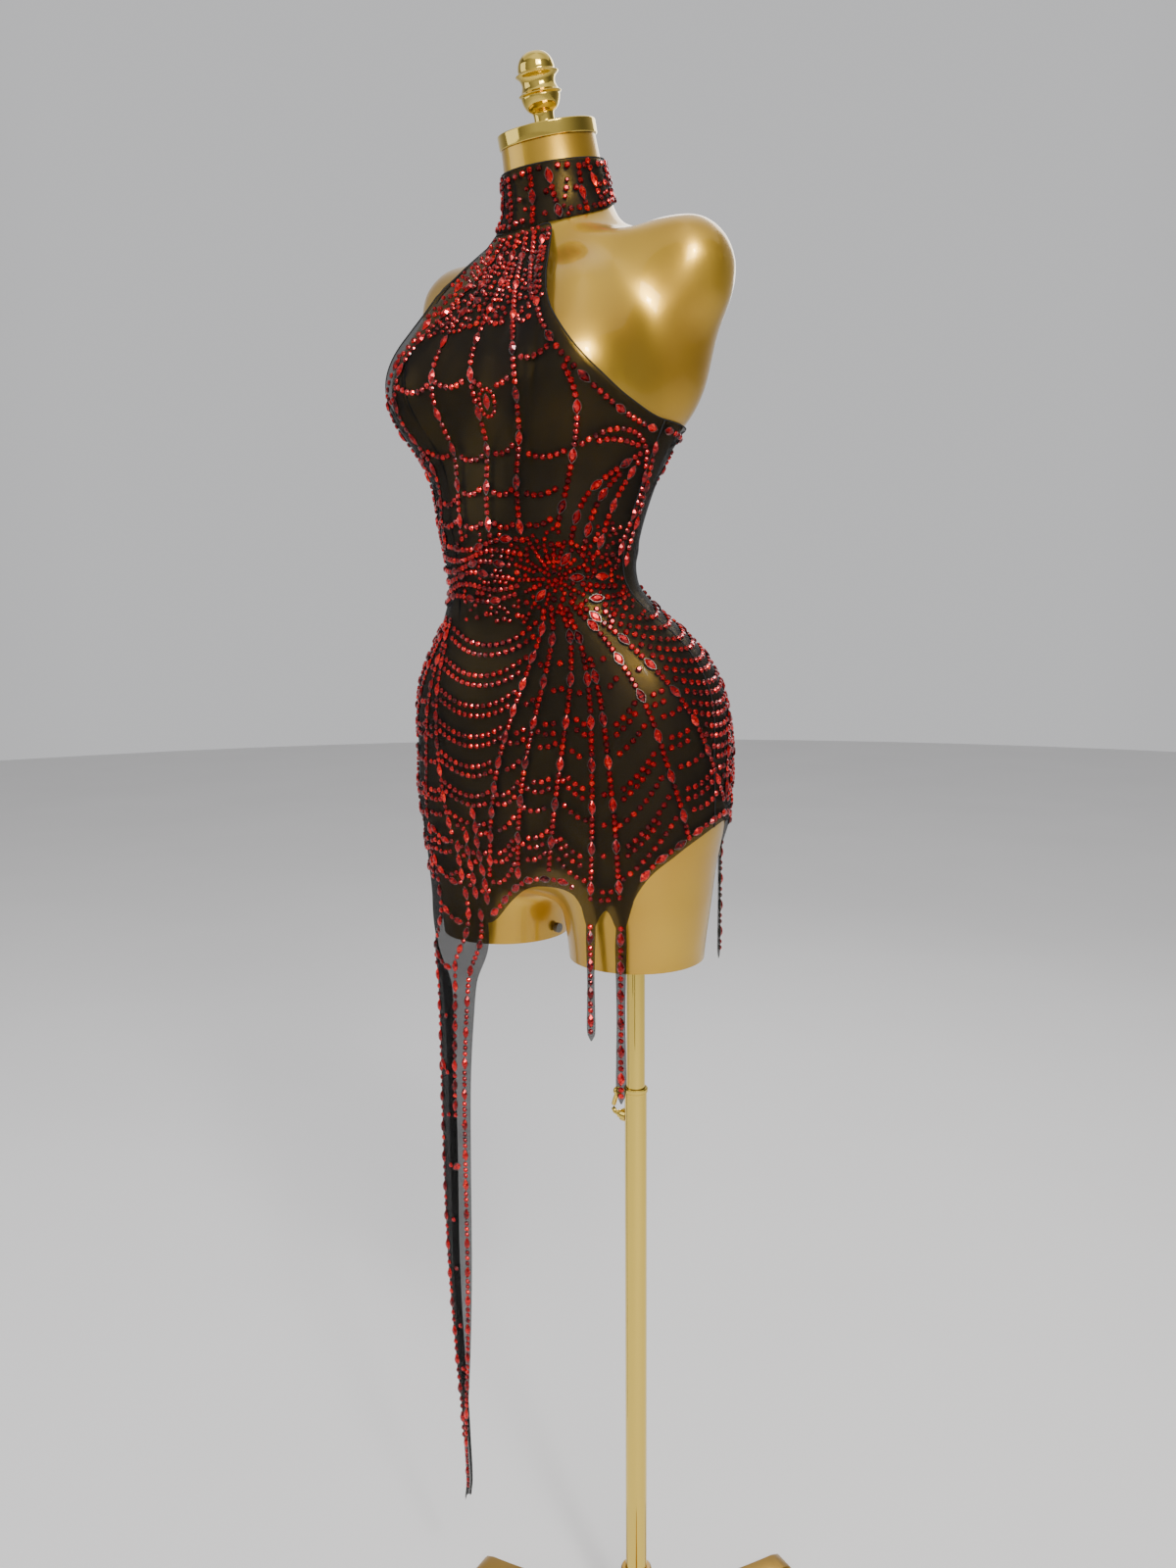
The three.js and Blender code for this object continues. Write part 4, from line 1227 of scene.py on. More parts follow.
@dataclass
class Panel:
    """One cut piece of the dress's body, with the points and the tail that hang from its hem."""

    side: PanelSide
    cloth: ClothMap
    rows: int
    flat: tuple[float, float]
    area: float
    widest: float = 1.3
    thickness: float = 0.5 * MM
    drip_rows: int = 44
    drip_ease: float = 22 * MM  # the height in which the skirt's shape turns into the point's
    tail_rows: int = 120
    tail_ease: float = 65 * MM
    tail_low: float = 132 * MM
    tail_axis: Vector = field(default_factory=lambda: Vector((MEDIAN_X - THIGH_X, THIGH_Y, 0)))
    fold_share: float = 0.5  # of the tail's width, in the layer that shows
    round_share: float = 0.1  # of the tail's width, in the fold's round back; three pleats follow
    fold_bulge: float = 2.6  # degrees
    tail_root: Point2 = (-60, 797 * MM)
    sway: float = 1.6 * MM
    sway_length: float = 74 * MM
    sway_lag: float = 3.2  # radians across the tail

    def turns(self) -> list[float]:
        """The panel's columns, with one at each mark of the hem.

        Returns:
            Turns in degrees, in order.
        """
        first, last = (-90, 90) if self.side is PanelSide.FRONT else (90, 270)
        marks = {row[0] + lap for row in HEM for lap in (0, 360)} | {TAIL_BACK_TURN}
        held = sorted(t for t in marks if first <= t <= last)
        turns = [held[0]]
        for mark in held[1:]:
            count = math.ceil((mark - turns[-1]) / self.widest)
            turns += evenly(turns[-1], mark, count + 1)[1:]
        return turns

    def drips(self) -> tuple[Drip, ...]:
        """The narrow points that hang from this panel."""
        return FRONT_DRIPS if self.side is PanelSide.FRONT else BACK_DRIPS

    def body_points(self) -> list[list[Vector]]:
        """Rows of the panel's points from the hem to its upper edge.

        Returns:
            The rows, lowest first.
        """
        turns = self.turns()
        spans = [(hem_z(t), top_z(t)) for t in turns]
        return [[self.cloth.point(t, low + (high - low) * v) for t, (low, high) in zip(turns, spans)]
                for v in evenly(0, 1, self.rows + 1)]

    def drip_line(self, drip: Drip, z: float) -> tuple[Vector, Vector]:
        """The middle of a narrow point at a height in metres, and its half width to the left.

        Args:
            drip: the narrow point.
            z: height in metres.

        Returns:
            The middle and the half width.
        """
        hang = self.cloth.point(drip.turn, (drip.root - 8) * MM)
        way = self.cloth.point(drip.turn + 1, hang.z) - self.cloth.point(drip.turn - 1, hang.z)
        share = curve(DRIP_SHARES, (z / MM - drip.tip) / (drip.root - drip.tip))
        return Vector((hang.x, hang.y, z)), way.normalized() * (drip.width / 2 * MM * share)

    def drip_points(self, drip: Drip) -> list[list[Vector]]:
        """Rows of a narrow point, from its tip to the hem.

        Args:
            drip: the narrow point.

        Returns:
            The rows, lowest first.
        """
        turns = [t for t in self.turns() if drip.low_turn - 0.01 < t < drip.high_turn + 0.01]
        rows = []
        for v in evenly(0, 1, self.drip_rows + 1):
            row = []
            for k, t in enumerate(turns):
                hem = hem_z(t)
                z = drip.tip * MM + (hem - drip.tip * MM) * v
                middle, half = self.drip_line(drip, z)
                free = middle + half * (2 * k / (len(turns) - 1) - 1)
                root = self.cloth.point(t, hem)
                root.z = z
                row.append(root.lerp(free, eased((hem - z) / self.drip_ease)))
            rows.append(row)
        return rows

    def tail_point(self, u: float, z: float) -> Vector:
        """A point of the hanging tail, a share u of its width from the free edge.

        Args:
            u: share of the width.
            z: height in metres.

        Returns:
            The point.
        """
        edge, fold, back, folded = (curve(TAIL, z / MM, k) for k in (1, 2, 3, 4))
        if u < self.fold_share:
            at, inset = edge + (fold - edge) * u / self.fold_share, 0.0
        elif u < self.fold_share + self.round_share:
            half_turn = math.pi * (u - self.fold_share) / self.round_share
            at = fold - self.fold_bulge * math.sin(half_turn)
            inset = TAIL_FOLD_R * (1 - math.cos(half_turn))
        else:
            pleat = 3 * (u - self.fold_share - self.round_share) / (1 - self.fold_share - self.round_share)
            at = fold + back * (1 - abs(pleat % 2 - 1))
            inset = 2 * TAIL_FOLD_R - pleat * MM
        opened = edge + (TAIL_BACK_TURN - edge) * u
        root = self.cloth.point(*self.tail_root) - self.tail_axis
        sway = self.sway * math.sin(z / self.sway_length + self.sway_lag * u) * folded
        radius = math.hypot(root.x, root.y) - inset * folded + sway
        place = self.tail_axis + bearing(opened * (1 - folded) + at * folded) * radius
        return Vector((place.x, place.y, z))

    def hang_point(self, u: float, z: float) -> Vector:
        """A point of the skirt above the tail's root, or of the tail where it comes out below.

        Args:
            u: share of the width.
            z: height in metres.

        Returns:
            The point.
        """
        turn = TAIL_FRONT_TURN - u * (TAIL_FRONT_TURN - TAIL_BACK_TURN)
        hem = hem_z(turn)
        if z > hem:
            return self.cloth.point(turn, z)
        root = self.cloth.point(turn, hem)
        root.z = z
        return root.lerp(self.tail_point(u, z), eased((hem - z) / self.tail_ease))

    def tail_points(self) -> list[list[Vector]]:
        """Rows of the tail, from its tip to the hem.

        Returns:
            The rows, lowest first.
        """
        turns = [t for t in self.turns() if TAIL_BACK_TURN - 0.01 < t < TAIL_FRONT_TURN + 0.01]
        shares = [(TAIL_FRONT_TURN - t) / (TAIL_FRONT_TURN - TAIL_BACK_TURN) for t in turns]
        hems = [hem_z(t) for t in turns]
        return [[self.hang_point(u, self.tail_low + (hem - self.tail_low) * v)
                 for u, hem in zip(shares, hems)] for v in evenly(0, 1, self.tail_rows + 1)]

    def tail_surface(self) -> Surface:
        """The tail in percent of its width from the free edge and millimetres of height."""
        return Surface(lambda u, z: self.hang_point(u / 100, z * MM), (2.5, 4.0), self.tail_axis)

    def drip_surface(self, drip: Drip) -> Surface:
        """A narrow point in shares of its half width and millimetres of height.

        Args:
            drip: the narrow point.

        Returns:
            The surface.
        """
        def spot(a: float, z: float) -> Vector:
            """A point on the drip's line, blended into the skirt above it.

            Args:
                a: share of the half width.
                z: height in millimetres.

            Returns:
                The point.
            """
            middle, half = self.drip_line(drip, min(z, drip.root) * MM)
            free = middle + half.normalized() * (a * drip.width / 2 * MM)
            free.z = z * MM
            return free.lerp(self.cloth.point(drip.turn, z * MM), eased((z - drip.root + 20) / 24))

        return Surface(spot, (0.5, 4.0), Vector((MEDIAN_X, 0, 0)))

    def build(self, form: bpy.types.Object, finish: StretchMesh) -> bpy.types.Object:
        """Args:
            form: the dress form that it is stretched over; not used.
            finish: the net.

        Returns:
            The panel.
        """
        bm = bmesh.new()
        bm.loops.layers.uv.new("flat")
        laid_grid(bm, self.body_points())
        for drip in self.drips():
            laid_grid(bm, self.drip_points(drip))
        if self.side is PanelSide.FRONT:
            laid_grid(bm, self.tail_points())
        bmesh.ops.remove_doubles(bm, verts=bm.verts, dist=0.02 * MM)
        panel = publish(bm, f"{self.side.value}_cloth", finish.material())
        thicken(panel, self.thickness)
        settle(panel, "figure", [self.side.value])
        return panel


@dataclass
class Collar:
    """The high collar, one band of the same net."""

    low_middle: float = 1452.0
    low_slant: float = 22.0
    high_middle: float = 1494.0
    high_slant: float = 11.0
    axis_low: Point2 = (1425, 8)  # height and y of the neck's axis
    axis_high: Point2 = (1550, -27)
    sink: float = 1.1 * MM
    columns: int = 120
    rows: int = 14
    cad: BVHTree = field(default_factory=lambda: node_tree(["collar"]))

    def edge(self, turn: float, share: float) -> float:
        """Height in metres, a share of the way from the lower edge to the upper.

        Args:
            turn: in degrees.
            share: 0 at the lower edge, 1 at the upper.

        Returns:
            The height.
        """
        lean = math.cos(math.radians(turn))
        low, high = self.low_middle - self.low_slant * lean, self.high_middle - self.high_slant * lean
        return (low + (high - low) * share) * MM

    def point(self, turn: float, share: float) -> Vector:
        """The band's outer face at a turn and a share of its height.

        Args:
            turn: in degrees.
            share: 0 at the lower edge, 1 at the upper.

        Returns:
            The point.
        """
        z = self.edge(turn, min(max(share, 0.02), 0.98))
        (low, low_y), (high, high_y) = self.axis_low, self.axis_high
        axis = Vector((MEDIAN_X, (low_y + (high_y - low_y) * (z / MM - low) / (high - low)) * MM, z))
        hit = self.cad.ray_cast(axis + bearing(turn) * 0.15, -bearing(turn), 0.14)
        place = axis + bearing(turn) * ((hit[0] - axis).length - self.sink)
        place.z = self.edge(turn, share)
        return place

    def surface(self) -> Surface:
        """The band in turns and percent of its height."""
        return Surface(lambda turn, v: self.point(turn, v / 100), (2.0, 20.0), Vector((MEDIAN_X, 0, 0)))

    def build(self, form: bpy.types.Object, finish: StretchMesh) -> bpy.types.Object:
        """Args:
            form: the dress form that it is stretched over; not used.
            finish: the net.

        Returns:
            The band.
        """
        bm = bmesh.new()
        bm.loops.layers.uv.new("flat")
        turns = evenly(-180, 180, self.columns + 1)
        laid_grid(bm, [[self.point(t, v) for t in turns] for v in evenly(0, 1, self.rows + 1)])
        bmesh.ops.remove_doubles(bm, verts=bm.verts, dist=0.01 * MM)
        band = publish(bm, "collar_cloth", finish.material())
        thicken(band, 0.6 * MM)
        settle(band, "figure", ["collar"])
        return band


@dataclass
class EdgeStitch:
    """The narrow zigzag over the cut edges and the side seams, as a fine ridge."""

    dress: Surface
    collar: Surface
    width: float = 1.2 * MM
    thickness: float = 0.6 * MM
    proud: float = 0.25 * MM

    def ribbon(self, bm: bmesh.types.BMesh, route: Sequence[tuple[Vector, Vector]],
               side: float = -1.0) -> None:
        """Adds a ridge along a route.

        Args:
            bm: where it is added.
            route: points with the ways that they face.
            side: -1 puts it below or to the right of the route, 0 on its middle.
        """
        last = len(route) - 1
        strips: list[list[Vector]] = []
        for k, (place, out) in enumerate(route):
            along = (route[min(k + 1, last)][0] - route[max(k - 1, 0)][0]).normalized()
            across = out.cross(along).normalized()
            strips.append([place + across * (self.width * (v + (side - 1) / 2)) + out * self.proud
                           for v in (0, 0.5, 1)])
        made = laid_grid(bm, [list(row) for row in zip(*strips)])
        faces = list({f for v in made for f in v.link_faces})
        if faces[0].normal.dot(route[0][1]) < 0:
            bmesh.ops.reverse_faces(bm, faces=faces)

    def build(self) -> bpy.types.Object:
        """Makes every ridge as one piece.

        Returns:
            The ridges.
        """
        bm = bmesh.new()
        bm.loops.layers.uv.new("flat")
        for side in (-1, 1):
            arm = [self.dress.place(side * t, top_z(t) / MM) for t in evenly(19.5, 90, 90)]
            self.ribbon(bm, arm if side > 0 else arm[::-1])
            low, high = hem_z(side * 90) / MM, top_z(90) / MM
            self.ribbon(bm, [self.dress.place(side * 90, z) for z in evenly(low, high, 110)], 0)
        self.ribbon(bm, [self.dress.place(t, top_z(t) / MM) for t in evenly(90, 270, 120)])
        self.ribbon(bm, [self.collar.place(t, 100) for t in evenly(-180, 180, 121)])
        bmesh.ops.remove_doubles(bm, verts=bm.verts, dist=0.01 * MM)
        piece = publish(bm, "edge_stitch", ElasticTape().material())
        thicken(piece, self.thickness)
        return settle(piece, "figure")


# ---- The crystals -----------------------------------------------------------------------------


@dataclass(frozen=True)
class StoneCut:
    """A stone in its setting: its outline, facets and heights over the cloth, in millimetres."""

    length: float
    width: float
    sides: int
    pointed: bool = False
    seat: float = 0.8
    crown: float = 2.4
    table: float = 0.56  # of the outline
    rim: float = -0.15  # how far the setting stands out round the stone

    def band(self, low: float, high: float, foot: float, head: float,
             turned: bool) -> tuple[np.ndarray, np.ndarray]:
        """A closed band of the outline.

        Args:
            low: the outline's share at the foot.
            high: the outline's share at the head.
            foot: height of the lower end in millimetres.
            head: height of the upper end.
            turned: whether the head is turned by half a side, so that its facets alternate.

        Returns:
            Corners in metres and triangles.
        """
        bm = bmesh.new()
        middle = (foot + head) / 2
        verts = bmesh.ops.create_cone(bm, segments=self.sides, radius1=low, radius2=high, depth=head - foot,
                                      cap_ends=True, matrix=Matrix.Translation((0, 0, middle)))["verts"]
        if turned:
            bmesh.ops.rotate(bm, verts=[v for v in verts if v.co.z > middle], cent=(0, 0, 0),
                             matrix=Matrix.Rotation(math.pi / self.sides, 3, "Z"))
        for vert in verts:
            x, y, z = vert.co
            taper = abs(y) / math.hypot(x, y) if self.pointed else 1.0
            vert.co = (x * self.length / 2 * MM, y * taper * self.width / 2 * MM, z * MM)
        bmesh.ops.triangulate(bm, faces=bm.faces)
        bm.verts.index_update()
        corners = np.array([tuple(v.co) for v in bm.verts])
        triangles = np.array([[v.index for v in f.verts] for f in bm.faces])
        bm.free()
        return corners, triangles

    def glass(self) -> tuple[np.ndarray, np.ndarray]:
        """The crown with its table."""
        return self.band(1.0, self.table, self.seat, self.crown, not self.pointed)

    def cup(self) -> tuple[np.ndarray, np.ndarray]:
        """The setting, whose rim stands round the stone's widest level."""
        rim = 1 + 2 * self.rim / self.width
        return self.band(rim - 0.12, rim, 0.0, self.seat + 0.15, False)


class Stone(Enum):
    """The stones' kinds, by the letter that stands for each in a row's pattern."""

    NAVETTE = "N"
    ROUND = "r"
    SMALL = "s"


CUTS = {
    Stone.NAVETTE: StoneCut(14.0, 7.4, 12, pointed=True, crown=3.1, table=0.5, rim=0.2),
    Stone.ROUND: StoneCut(5.7, 5.7, 8),
    Stone.SMALL: StoneCut(4.3, 4.3, 8, crown=2.1),
}

# Lines of the bodice's garlands, as (turn, height): from the neck to the waist.
GARLANDS = (
    ((-22, 1420), (-31, 1352), (-45, 1290), (-58, 1240), (-62, 1190), (-64, 1152)),
    ((-15, 1425), (-23, 1370), (-33, 1318), (-41, 1262), (-44, 1206), (-46, 1152)),
    ((-8, 1426), (-12, 1368), (-17, 1310), (-21, 1250), (-23, 1190), (-22, 1150)),
    ((0, 1426), (4, 1366), (3, 1302), (5, 1246), (3, 1190), (6, 1150)),
    ((9, 1426), (17, 1368), (24, 1312), (27, 1254), (25, 1204), (29, 1156)),
    ((17, 1425), (26, 1368), (37, 1314), (49, 1262), (53, 1210), (50, 1160)),
)
# Painted glints: the most that a stone, and a facet of it, can each add to a facet's painted brightness.
PAINTED_GLINT_MOST = 0.62  # the most that a stone, and a facet of it, can each add to a facet's light
FRONT_HUB = (48, 1118)
BACK_HUB = (180, 1118)
# Turns where the lines from each hub reach the hem, in order.
FRONT_RAYS = (-26, 5, 29, 49.2, 59.6, 79, 97)
SIDE_HUB = (-42, 1108)
SIDE_RAYS = (-98, -80, -60, -40)
BACK_RAYS = (97, 115, 135, 158, 180, 203, 228, 252, 274)
LEFT_HIP = (112, 1122)
RIGHT_HIP = (250, 1122)
SWAG_DROP = 0.406  # millimetres for each degree of the span


@dataclass
class CrystalWork:
    """The stones, laid in rows on the cloth and kept clear of each other."""

    dress: Surface
    collar: Surface
    front: Panel
    back: Panel
    cell: float = 8 * MM
    chest_tries: int = 5200
    burst_tries: int = 3000
    collar_tries: int = 900
    dice: random.Random = field(default_factory=lambda: random.Random(11))
    taken: dict[tuple[int, ...], list[tuple[Vector, float]]] = field(default_factory=dict)
    laid: list[tuple[Stone, Matrix]] = field(default_factory=list)

    def spots(self, kind: Stone, place: Matrix) -> list[tuple[Vector, float]]:
        """Round spots that together cover a stone, with their radii.

        Args:
            kind: the stone.
            place: where it lies.

        Returns:
            Middles and radii.
        """
        cut = CUTS[kind]
        half = cut.width / 2 * MM
        shares = ((0, 1.0),)
        if cut.pointed:
            shares = ((0, 0.95), (0.5, 0.7), (-0.5, 0.7), (0.85, 0.35), (-0.85, 0.35))
        return [(place @ Vector((x * cut.length / 2 * MM, 0, 0)), half * share) for x, share in shares]

    def key(self, spot: Vector) -> tuple[int, ...]:
        """The cell that a spot is in."""
        return tuple(math.floor(value / self.cell) for value in spot)

    def is_clear(self, spots: Sequence[tuple[Vector, float]], slack: float) -> bool:
        """Whether no stone lies closer than a share of both radii.

        Args:
            spots: middles and radii.
            slack: the share of both radii.

        Returns:
            True where there is room.
        """
        for spot, radius in spots:
            at = self.key(spot)
            for shift in np.ndindex(3, 3, 3):
                cell = tuple(a + b - 1 for a, b in zip(at, shift))
                for other, reach in self.taken.get(cell, ()):
                    if (spot - other).length < (radius + reach) * slack:
                        return False
        return True

    def lay(self, kind: Stone, here: Vector, out: Vector, along: Vector, slack: float = 0.9) -> bool:
        """Sets a stone down, a little askew, unless it would lie on another.

        Args:
            kind: the stone.
            here: a point of the cloth.
            out: the way that the cloth faces there.
            along: roughly the way that the stone points.
            slack: the share of both stones' size that stays free.

        Returns:
            Whether it was laid.
        """
        x_axis = (along - out * along.dot(out)).normalized()
        frame_axes = Matrix((x_axis, out.cross(x_axis), out)).transposed().to_4x4()
        skew = Matrix.Rotation(math.radians(self.dice.gauss(0, 3)), 4, "Z")
        place = Matrix.Translation(here) @ frame_axes @ skew
        spots = self.spots(kind, place)
        if not self.is_clear(spots, slack):
            return False
        for spot, radius in spots:
            self.taken.setdefault(self.key(spot), []).append((spot, radius))
        self.laid.append((kind, place))
        return True

    def row(self, surface: Surface, knots: Sequence[Point2], pattern: str, gap: float = 0.5,
            slack: float = 0.9) -> None:
        """Lays stones one after another along a smooth line.

        Args:
            surface: what they are laid on.
            knots: the line's points in the surface's own measures.
            pattern: the stones' letters, repeated along the line.
            gap: millimetres between stones.
            slack: the share of their size that is kept clear of other rows.
        """
        line = smooth_line(knots, 10)
        points = [surface.point(*at) for at in line]
        run = np.cumsum([0.0, *((b - a).length for a, b in zip(points, points[1:]))])
        columns = np.array(line).T
        travelled, step = 0.0, 0
        while True:
            kind = Stone(pattern[step % len(pattern)])
            length = CUTS[kind].length * MM
            middle = travelled + length / 2
            if middle + length / 2 > run[-1] + MM:
                return
            at, ahead = ([float(np.interp(middle + d, run, column)) for column in columns]
                         for d in (-1.5 * MM, 1.5 * MM))
            here, out = surface.place((at[0] + ahead[0]) / 2, (at[1] + ahead[1]) / 2)
            self.lay(kind, here, out, surface.point(*ahead) - surface.point(*at), slack)
            travelled += length + gap * MM
            step += 1

    def swag(self, surface: Surface, start: Point2, end: Point2, sag: float, pattern: str = "r",
             gap: float = 2.4) -> None:
        """Lays a row that hangs between two places, sag millimetres lower in its middle.

        Args:
            surface: what it lies on.
            start: its first place.
            end: its last place.
            sag: in millimetres.
            pattern: the stones' letters.
            gap: millimetres between stones.
        """
        knots = []
        for t in evenly(0.04, 0.96, 5):
            dip = sag * 4 * t * (1 - t)
            knots.append((start[0] + (end[0] - start[0]) * t, start[1] + (end[1] - start[1]) * t - dip))
        self.row(surface, knots, pattern, gap)

    def collar_rows(self) -> None:
        """Three level rows round the neck, joined by short upright ones."""
        for turn in range(-180, 180, 24):
            lean = self.dice.uniform(-5, 5)
            pattern = self.dice.choice(("rrNr", "rrrr", "Nrrr", "rrrN"))
            self.row(self.collar, [(turn, 3), (turn + lean, 50), (turn + 2 * lean, 98)], pattern, 0.3)
        for height, gap in ((13, 2.2), (50, 3.4), (88, 2.8)):
            wave = [(t, height + 3 * math.sin(t / 17)) for t in range(-180, 181, 15)]
            self.row(self.collar, wave, "r", gap)
        for _ in range(self.collar_tries):
            turn, height = self.dice.uniform(-180, 180), self.dice.uniform(4, 96)
            if self.dice.random() < (0.9 if abs(turn) > 110 else 0.12 + 0.3 * (height < 30)):
                self.lay(Stone.SMALL, *self.collar.place(turn, height), Vector((0, 0, 1)), 1.1)

    def halter(self) -> None:
        """Rows along the armholes and the back's upper edge."""
        edge = ((25.5, 1420), (27.5, 1392), (30, 1360), (33.5, 1333), (39, 1309), (46, 1289), (54, 1273),
                (64, 1260), (76, 1251), (88, 1246))
        for side in (-1, 1):
            self.row(self.dress, [(side * turn, z) for turn, z in edge], "Nrrrr", 1.6)
        self.row(self.dress, [(t, top_z(t) / MM - 8) for t in range(92, 269, 8)], "Nrrr", 1.6)

    def chest(self) -> None:
        """Small stones strewn over the upper chest in slanting bands."""
        for _ in range(self.chest_tries):
            turn, z = self.dice.uniform(-34, 34), self.dice.uniform(1334, 1431)
            if z > top_z(turn) / MM - 3 or z > top_z(turn + math.copysign(2, turn)) / MM:
                continue
            band = 0.5 + 0.5 * math.sin((z + turn * 1.3) / 6.5 + math.sin(turn / 9))
            if self.dice.random() > 0.12 + 0.9 * band:
                continue
            kind = self.dice.choices((Stone.SMALL, Stone.ROUND, Stone.NAVETTE), (12, 4, 0.35))[0]
            along = Vector((self.dice.uniform(0.4, 1), 0, self.dice.uniform(-0.9, -0.2)))
            self.lay(kind, *self.dress.place(turn, z), along, 1.04)

    def garlands(self) -> None:
        """Lines from the neck over the bust to the waist, with short swags between them."""
        for line in GARLANDS:
            self.row(self.dress, line, self.dice.choice(("rrrrN", "rrrN", "rrrrrN")), 0.3)
        for left, right in zip(GARLANDS, GARLANDS[1:]):
            for z in (1342, 1296, 1234, 1196, 1172):
                height = z + self.dice.uniform(-9, 9)
                a, b = (curve([(row[1], row[0]) for row in reversed(line)], height) for line in (left, right))
                self.swag(self.dress, (a, height), (b, height + self.dice.uniform(-8, 8)), 9, "r", 1.0)

    def rosette(self, turn: float, z: float) -> None:
        """A large upright stone in a ring of small ones.

        Args:
            turn: in degrees.
            z: height in millimetres.
        """
        self.row(self.dress, [(turn, z + 7.5), (turn, z - 7.5)], "N")
        ring = [(turn + 4.4 * math.sin(a), z + 11 * math.cos(a)) for a in evenly(0, 2 * math.pi, 13)]
        self.row(self.dress, ring, "s", 0.3, 0.8)

    def sides(self) -> None:
        """Arches under the arms and lines down the sides."""
        for side in (-1, 1):
            for lift in (0, 8):
                arch = [(50, 1216), (56, 1232 - lift / 2), (66, 1243 - lift), (78, 1241 - lift), (86, 1229)]
                self.row(self.dress, [(side * t, z) for t, z in arch], "r", 0.9)
            for end in (57, 64, 72, 86):
                line = [(side * 86, 1230), (side * (end + 6), 1190), (side * end, 1136)]
                self.row(self.dress, line, "rrrN", 0.4)
            self.row(self.dress, [(side * 90, 1238), (side * 96, 1180), (side * 92, 1126)], "Nrrr", 0.6)

    def waist(self) -> None:
        """The dense burst round the hub, and the belt of touching rows that runs into it."""
        for k in range(20):
            way = math.radians(k * 18 + self.dice.uniform(-5, 5))
            reach = self.dice.uniform(26, 50)
            start = (FRONT_HUB[0] + 2.4 * math.cos(way), FRONT_HUB[1] + 4 * math.sin(way))
            end = (FRONT_HUB[0] + reach * 0.62 * math.cos(way), FRONT_HUB[1] + reach * math.sin(way))
            self.row(self.dress, [start, end], self.dice.choice(("ssss", "sssr", "ssN")), 0.2, 0.86)
        for k, z in enumerate((1150, 1141, 1132, 1123, 1113, 1103)):
            wave = [(t, z + 3.5 * math.sin(t / 11 + k) + 0.03 * (t - 20)) for t in range(-86, 86, 6)]
            self.row(self.dress, wave, ("rrrN", "rrrrr", "rNrr")[k % 3], 0.5, 0.84)
        for _ in range(self.burst_tries):
            turn, z = self.dice.uniform(-30, 88), self.dice.uniform(1080, 1168)
            away = math.hypot((turn - FRONT_HUB[0]) / 46, (z - FRONT_HUB[1]) / 34)
            if self.dice.random() < math.exp(-away * away):
                kind = self.dice.choices((Stone.SMALL, Stone.ROUND), (3, 1))[0]
                self.lay(kind, *self.dress.place(turn, z), Vector((0.3, 0, 1)), 0.98)

    def ray(self, hub: Point2, hem_turn: float, share: float) -> Point2:
        """A place on the line from a hub to the hem, as a turn and millimetres of height.

        Args:
            hub: turn and height.
            hem_turn: turn of the line's foot.
            share: of the way down.

        Returns:
            The place.
        """
        foot = hem_z(hem_turn) / MM + 12
        swing = share ** (0.75 if abs(hem_turn - hub[0]) > 30 else 1.0)
        return hub[0] + (hem_turn - hub[0]) * swing, hub[1] + (foot - hub[1]) * share

    def web(self, hub: Point2, rays: Sequence[float]) -> None:
        """Lines from a hub down to the hem, with sagging rows between them.

        Args:
            hub: turn and height.
            rays: turns of the lines' feet, in order.
        """
        for turn in rays:
            line = [self.ray(hub, turn, share) for share in evenly(0.08, 1, 9)]
            self.row(self.dress, line, self.dice.choice(("rrrN", "rrN", "rrrrN")), 0.3)
        for left, right in zip(rays, rays[1:]):
            is_wide = right - left > 14
            for k in range(8):
                share = 0.24 + 0.095 * k + self.dice.uniform(-0.015, 0.015)
                start, end = self.ray(hub, left, share), self.ray(hub, right, share)
                sag = SWAG_DROP * (end[0] - start[0])
                self.swag(self.dress, start, end, sag)
                if is_wide and k % 2 == 0 and share > 0.3:
                    self.swag(self.dress, (start[0], start[1] - 9), (end[0], end[1] - 9), sag)

    def between(self, left: tuple[Point2, float], right: tuple[Point2, float]) -> None:
        """Double sagging rows between two lines, each given by its hub and its turn at the hem.

        Args:
            left: the line with the lower turns.
            right: the other line.
        """
        for share in evenly(0.1, 0.9, 9):
            (a, high), (b, low) = self.ray(*left, share), self.ray(*right, share)
            for drop in (0, 9):
                self.swag(self.dress, (a, high - drop), (b, low - drop), 0.3 * (b - a))

    def hem(self) -> None:
        """The edging of the hem between the points that hang from it."""
        for low, high in ((-24, 43), (65, 111), (119, 266)):
            steps = math.ceil((high - low) / 4)
            line = [(t, hem_z(t) / MM + 8) for t in evenly(low, high, steps + 1)]
            self.row(self.dress, line, "Nr", 0.8, 0.86)
        self.row(self.dress, [(52, 828), (54.5, 831), (57, 828)], "r", 1.5)
        for turn, top in ((-22, 905), (-30, 880), (-37, 868)):
            self.row(self.dress, [(turn, top), (turn - 2, 850), (turn - 3, 806)], "N", 0.6, 0.86)

    def drip_rows(self) -> None:
        """The middle line of every narrow point."""
        for panel in (self.front, self.back):
            for drip in panel.drips():
                surface = panel.drip_surface(drip)
                self.row(surface, [(0, z) for z in evenly(drip.root + 22, drip.tip + 3, 12)], "Nrr", 0.4, 0.8)

    def tail_rows(self) -> None:
        """The tail's edges, and the loops that hang across it."""
        tail = self.front.tail_surface()
        self.row(tail, [(7, z) for z in evenly(800, 146, 40)], "Nrrr", 0.5)
        self.row(tail, [(46, z) for z in evenly(880, 190, 40)], "Nrr", 2.4)
        self.row(tail, [(20, z) for z in evenly(820, 560, 16)], "Nr", 0.8)
        for z in (880, 838, 797, 745, 690, 630, 585, 530, 470, 415, 350, 300):
            self.swag(tail, (45, z), (13, z - 6), 12, "Nr", 0.4)
        for z in (965, 925):
            self.swag(self.dress, (-88, z), (-62, z - 4), 14, "NrN", 0.8)

